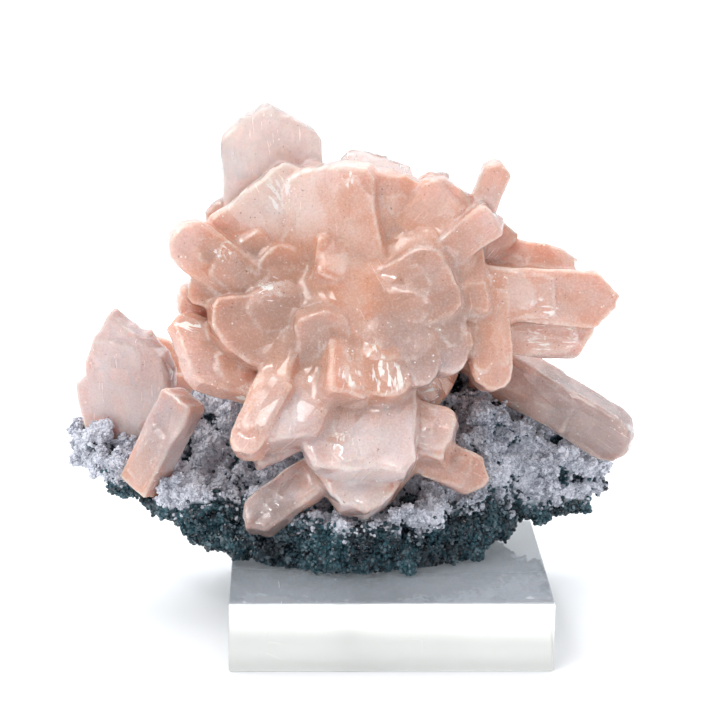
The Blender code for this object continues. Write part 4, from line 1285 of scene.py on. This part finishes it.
def add_sky(settings):
    world = bpy.data.worlds.new("studio")
    world.use_nodes = True
    tree = world.node_tree
    background = tree.nodes["Background"]
    background.inputs["Color"].default_value = (0.93, 0.965, 1.0, 1.0)
    direction = tree.nodes.new("ShaderNodeTexCoord").outputs["Generated"]
    backward = add_node(tree, "ShaderNodeSeparateXYZ", {0: direction}).outputs[1]
    strength = remap(tree, backward, -0.6, 0.7, settings.front_sky, settings.back_sky)
    tree.links.new(strength, background.inputs["Strength"])
    bpy.context.scene.world = world


class SPECIMEN_OT_set_stage(bpy.types.Operator):
    """Set the floor, the lamps, the even sky and the photo's camera"""
    bl_idname = "specimen.set_stage"
    bl_label = "Set the stage"

    def execute(self, context):
        settings = context.scene.stilbite_studio
        add_camera()
        add_floor(settings)
        add_sky(settings)
        add_lamp("top_lamp", TOP_FROM, TOP_SPREAD, settings.top, (0.99, 0.995, 1.0))
        add_lamp("spark_lamp", SPARK_FROM, SPARK_SPREAD, settings.spark, (1.0, 1.0, 1.0))
        add_lamp("key_lamp", KEY_FROM, KEY_SPREAD, settings.key, (1.0, 0.99, 0.97))
        context.scene.view_settings.view_transform = "Standard"
        return {"FINISHED"}


STEPS = (
    SPECIMEN_OT_set_stage,
    SPECIMEN_OT_polish_block,
    SPECIMEN_OT_shape_crust,
    SPECIMEN_OT_lay_druse,
    SPECIMEN_OT_grow_cluster,
    SPECIMEN_OT_stand_single_blades,
)


class SPECIMEN_PT_steps(bpy.types.Panel):
    """Lists the specimen's settings and the steps that make it"""
    bl_idname = "SPECIMEN_PT_steps"
    bl_label = "Stilbite specimen"
    bl_space_type = "VIEW_3D"
    bl_region_type = "UI"
    bl_category = "Specimen"

    def draw(self, context):
        for step in STEPS:
            self.layout.operator(step.bl_idname)
        for name in SETTINGS:
            group = getattr(context.scene, name)
            box = self.layout.box()
            box.label(text=group.bl_rna.description)
            for key in group.bl_rna.properties.keys():
                if key not in ("rna_type", "name"):
                    box.prop(group, key)


SETTINGS = {
    "stilbite_blades": BladeSettings,
    "stilbite_crust": CrustSettings,
    "stilbite_block": BlockSettings,
    "stilbite_studio": StudioSettings,
}


def register():
    for name, group in SETTINGS.items():
        bpy.utils.register_class(group)
        setattr(bpy.types.Scene, name, bpy.props.PointerProperty(type=group))
    for step in STEPS:
        bpy.utils.register_class(step)
    bpy.utils.register_class(SPECIMEN_PT_steps)


def unregister():
    bpy.utils.unregister_class(SPECIMEN_PT_steps)
    for step in reversed(STEPS):
        bpy.utils.unregister_class(step)
    for name, group in SETTINGS.items():
        delattr(bpy.types.Scene, name)
        bpy.utils.unregister_class(group)


def main():
    register()
    for step in STEPS:
        area, action = step.bl_idname.split(".")
        getattr(getattr(bpy.ops, area), action)()


def plain(box):
    """A box's corners as lists of numbers."""
    return [[round(number, 6) for number in corner] for corner in box]


if __name__ == "__main__":
    main()
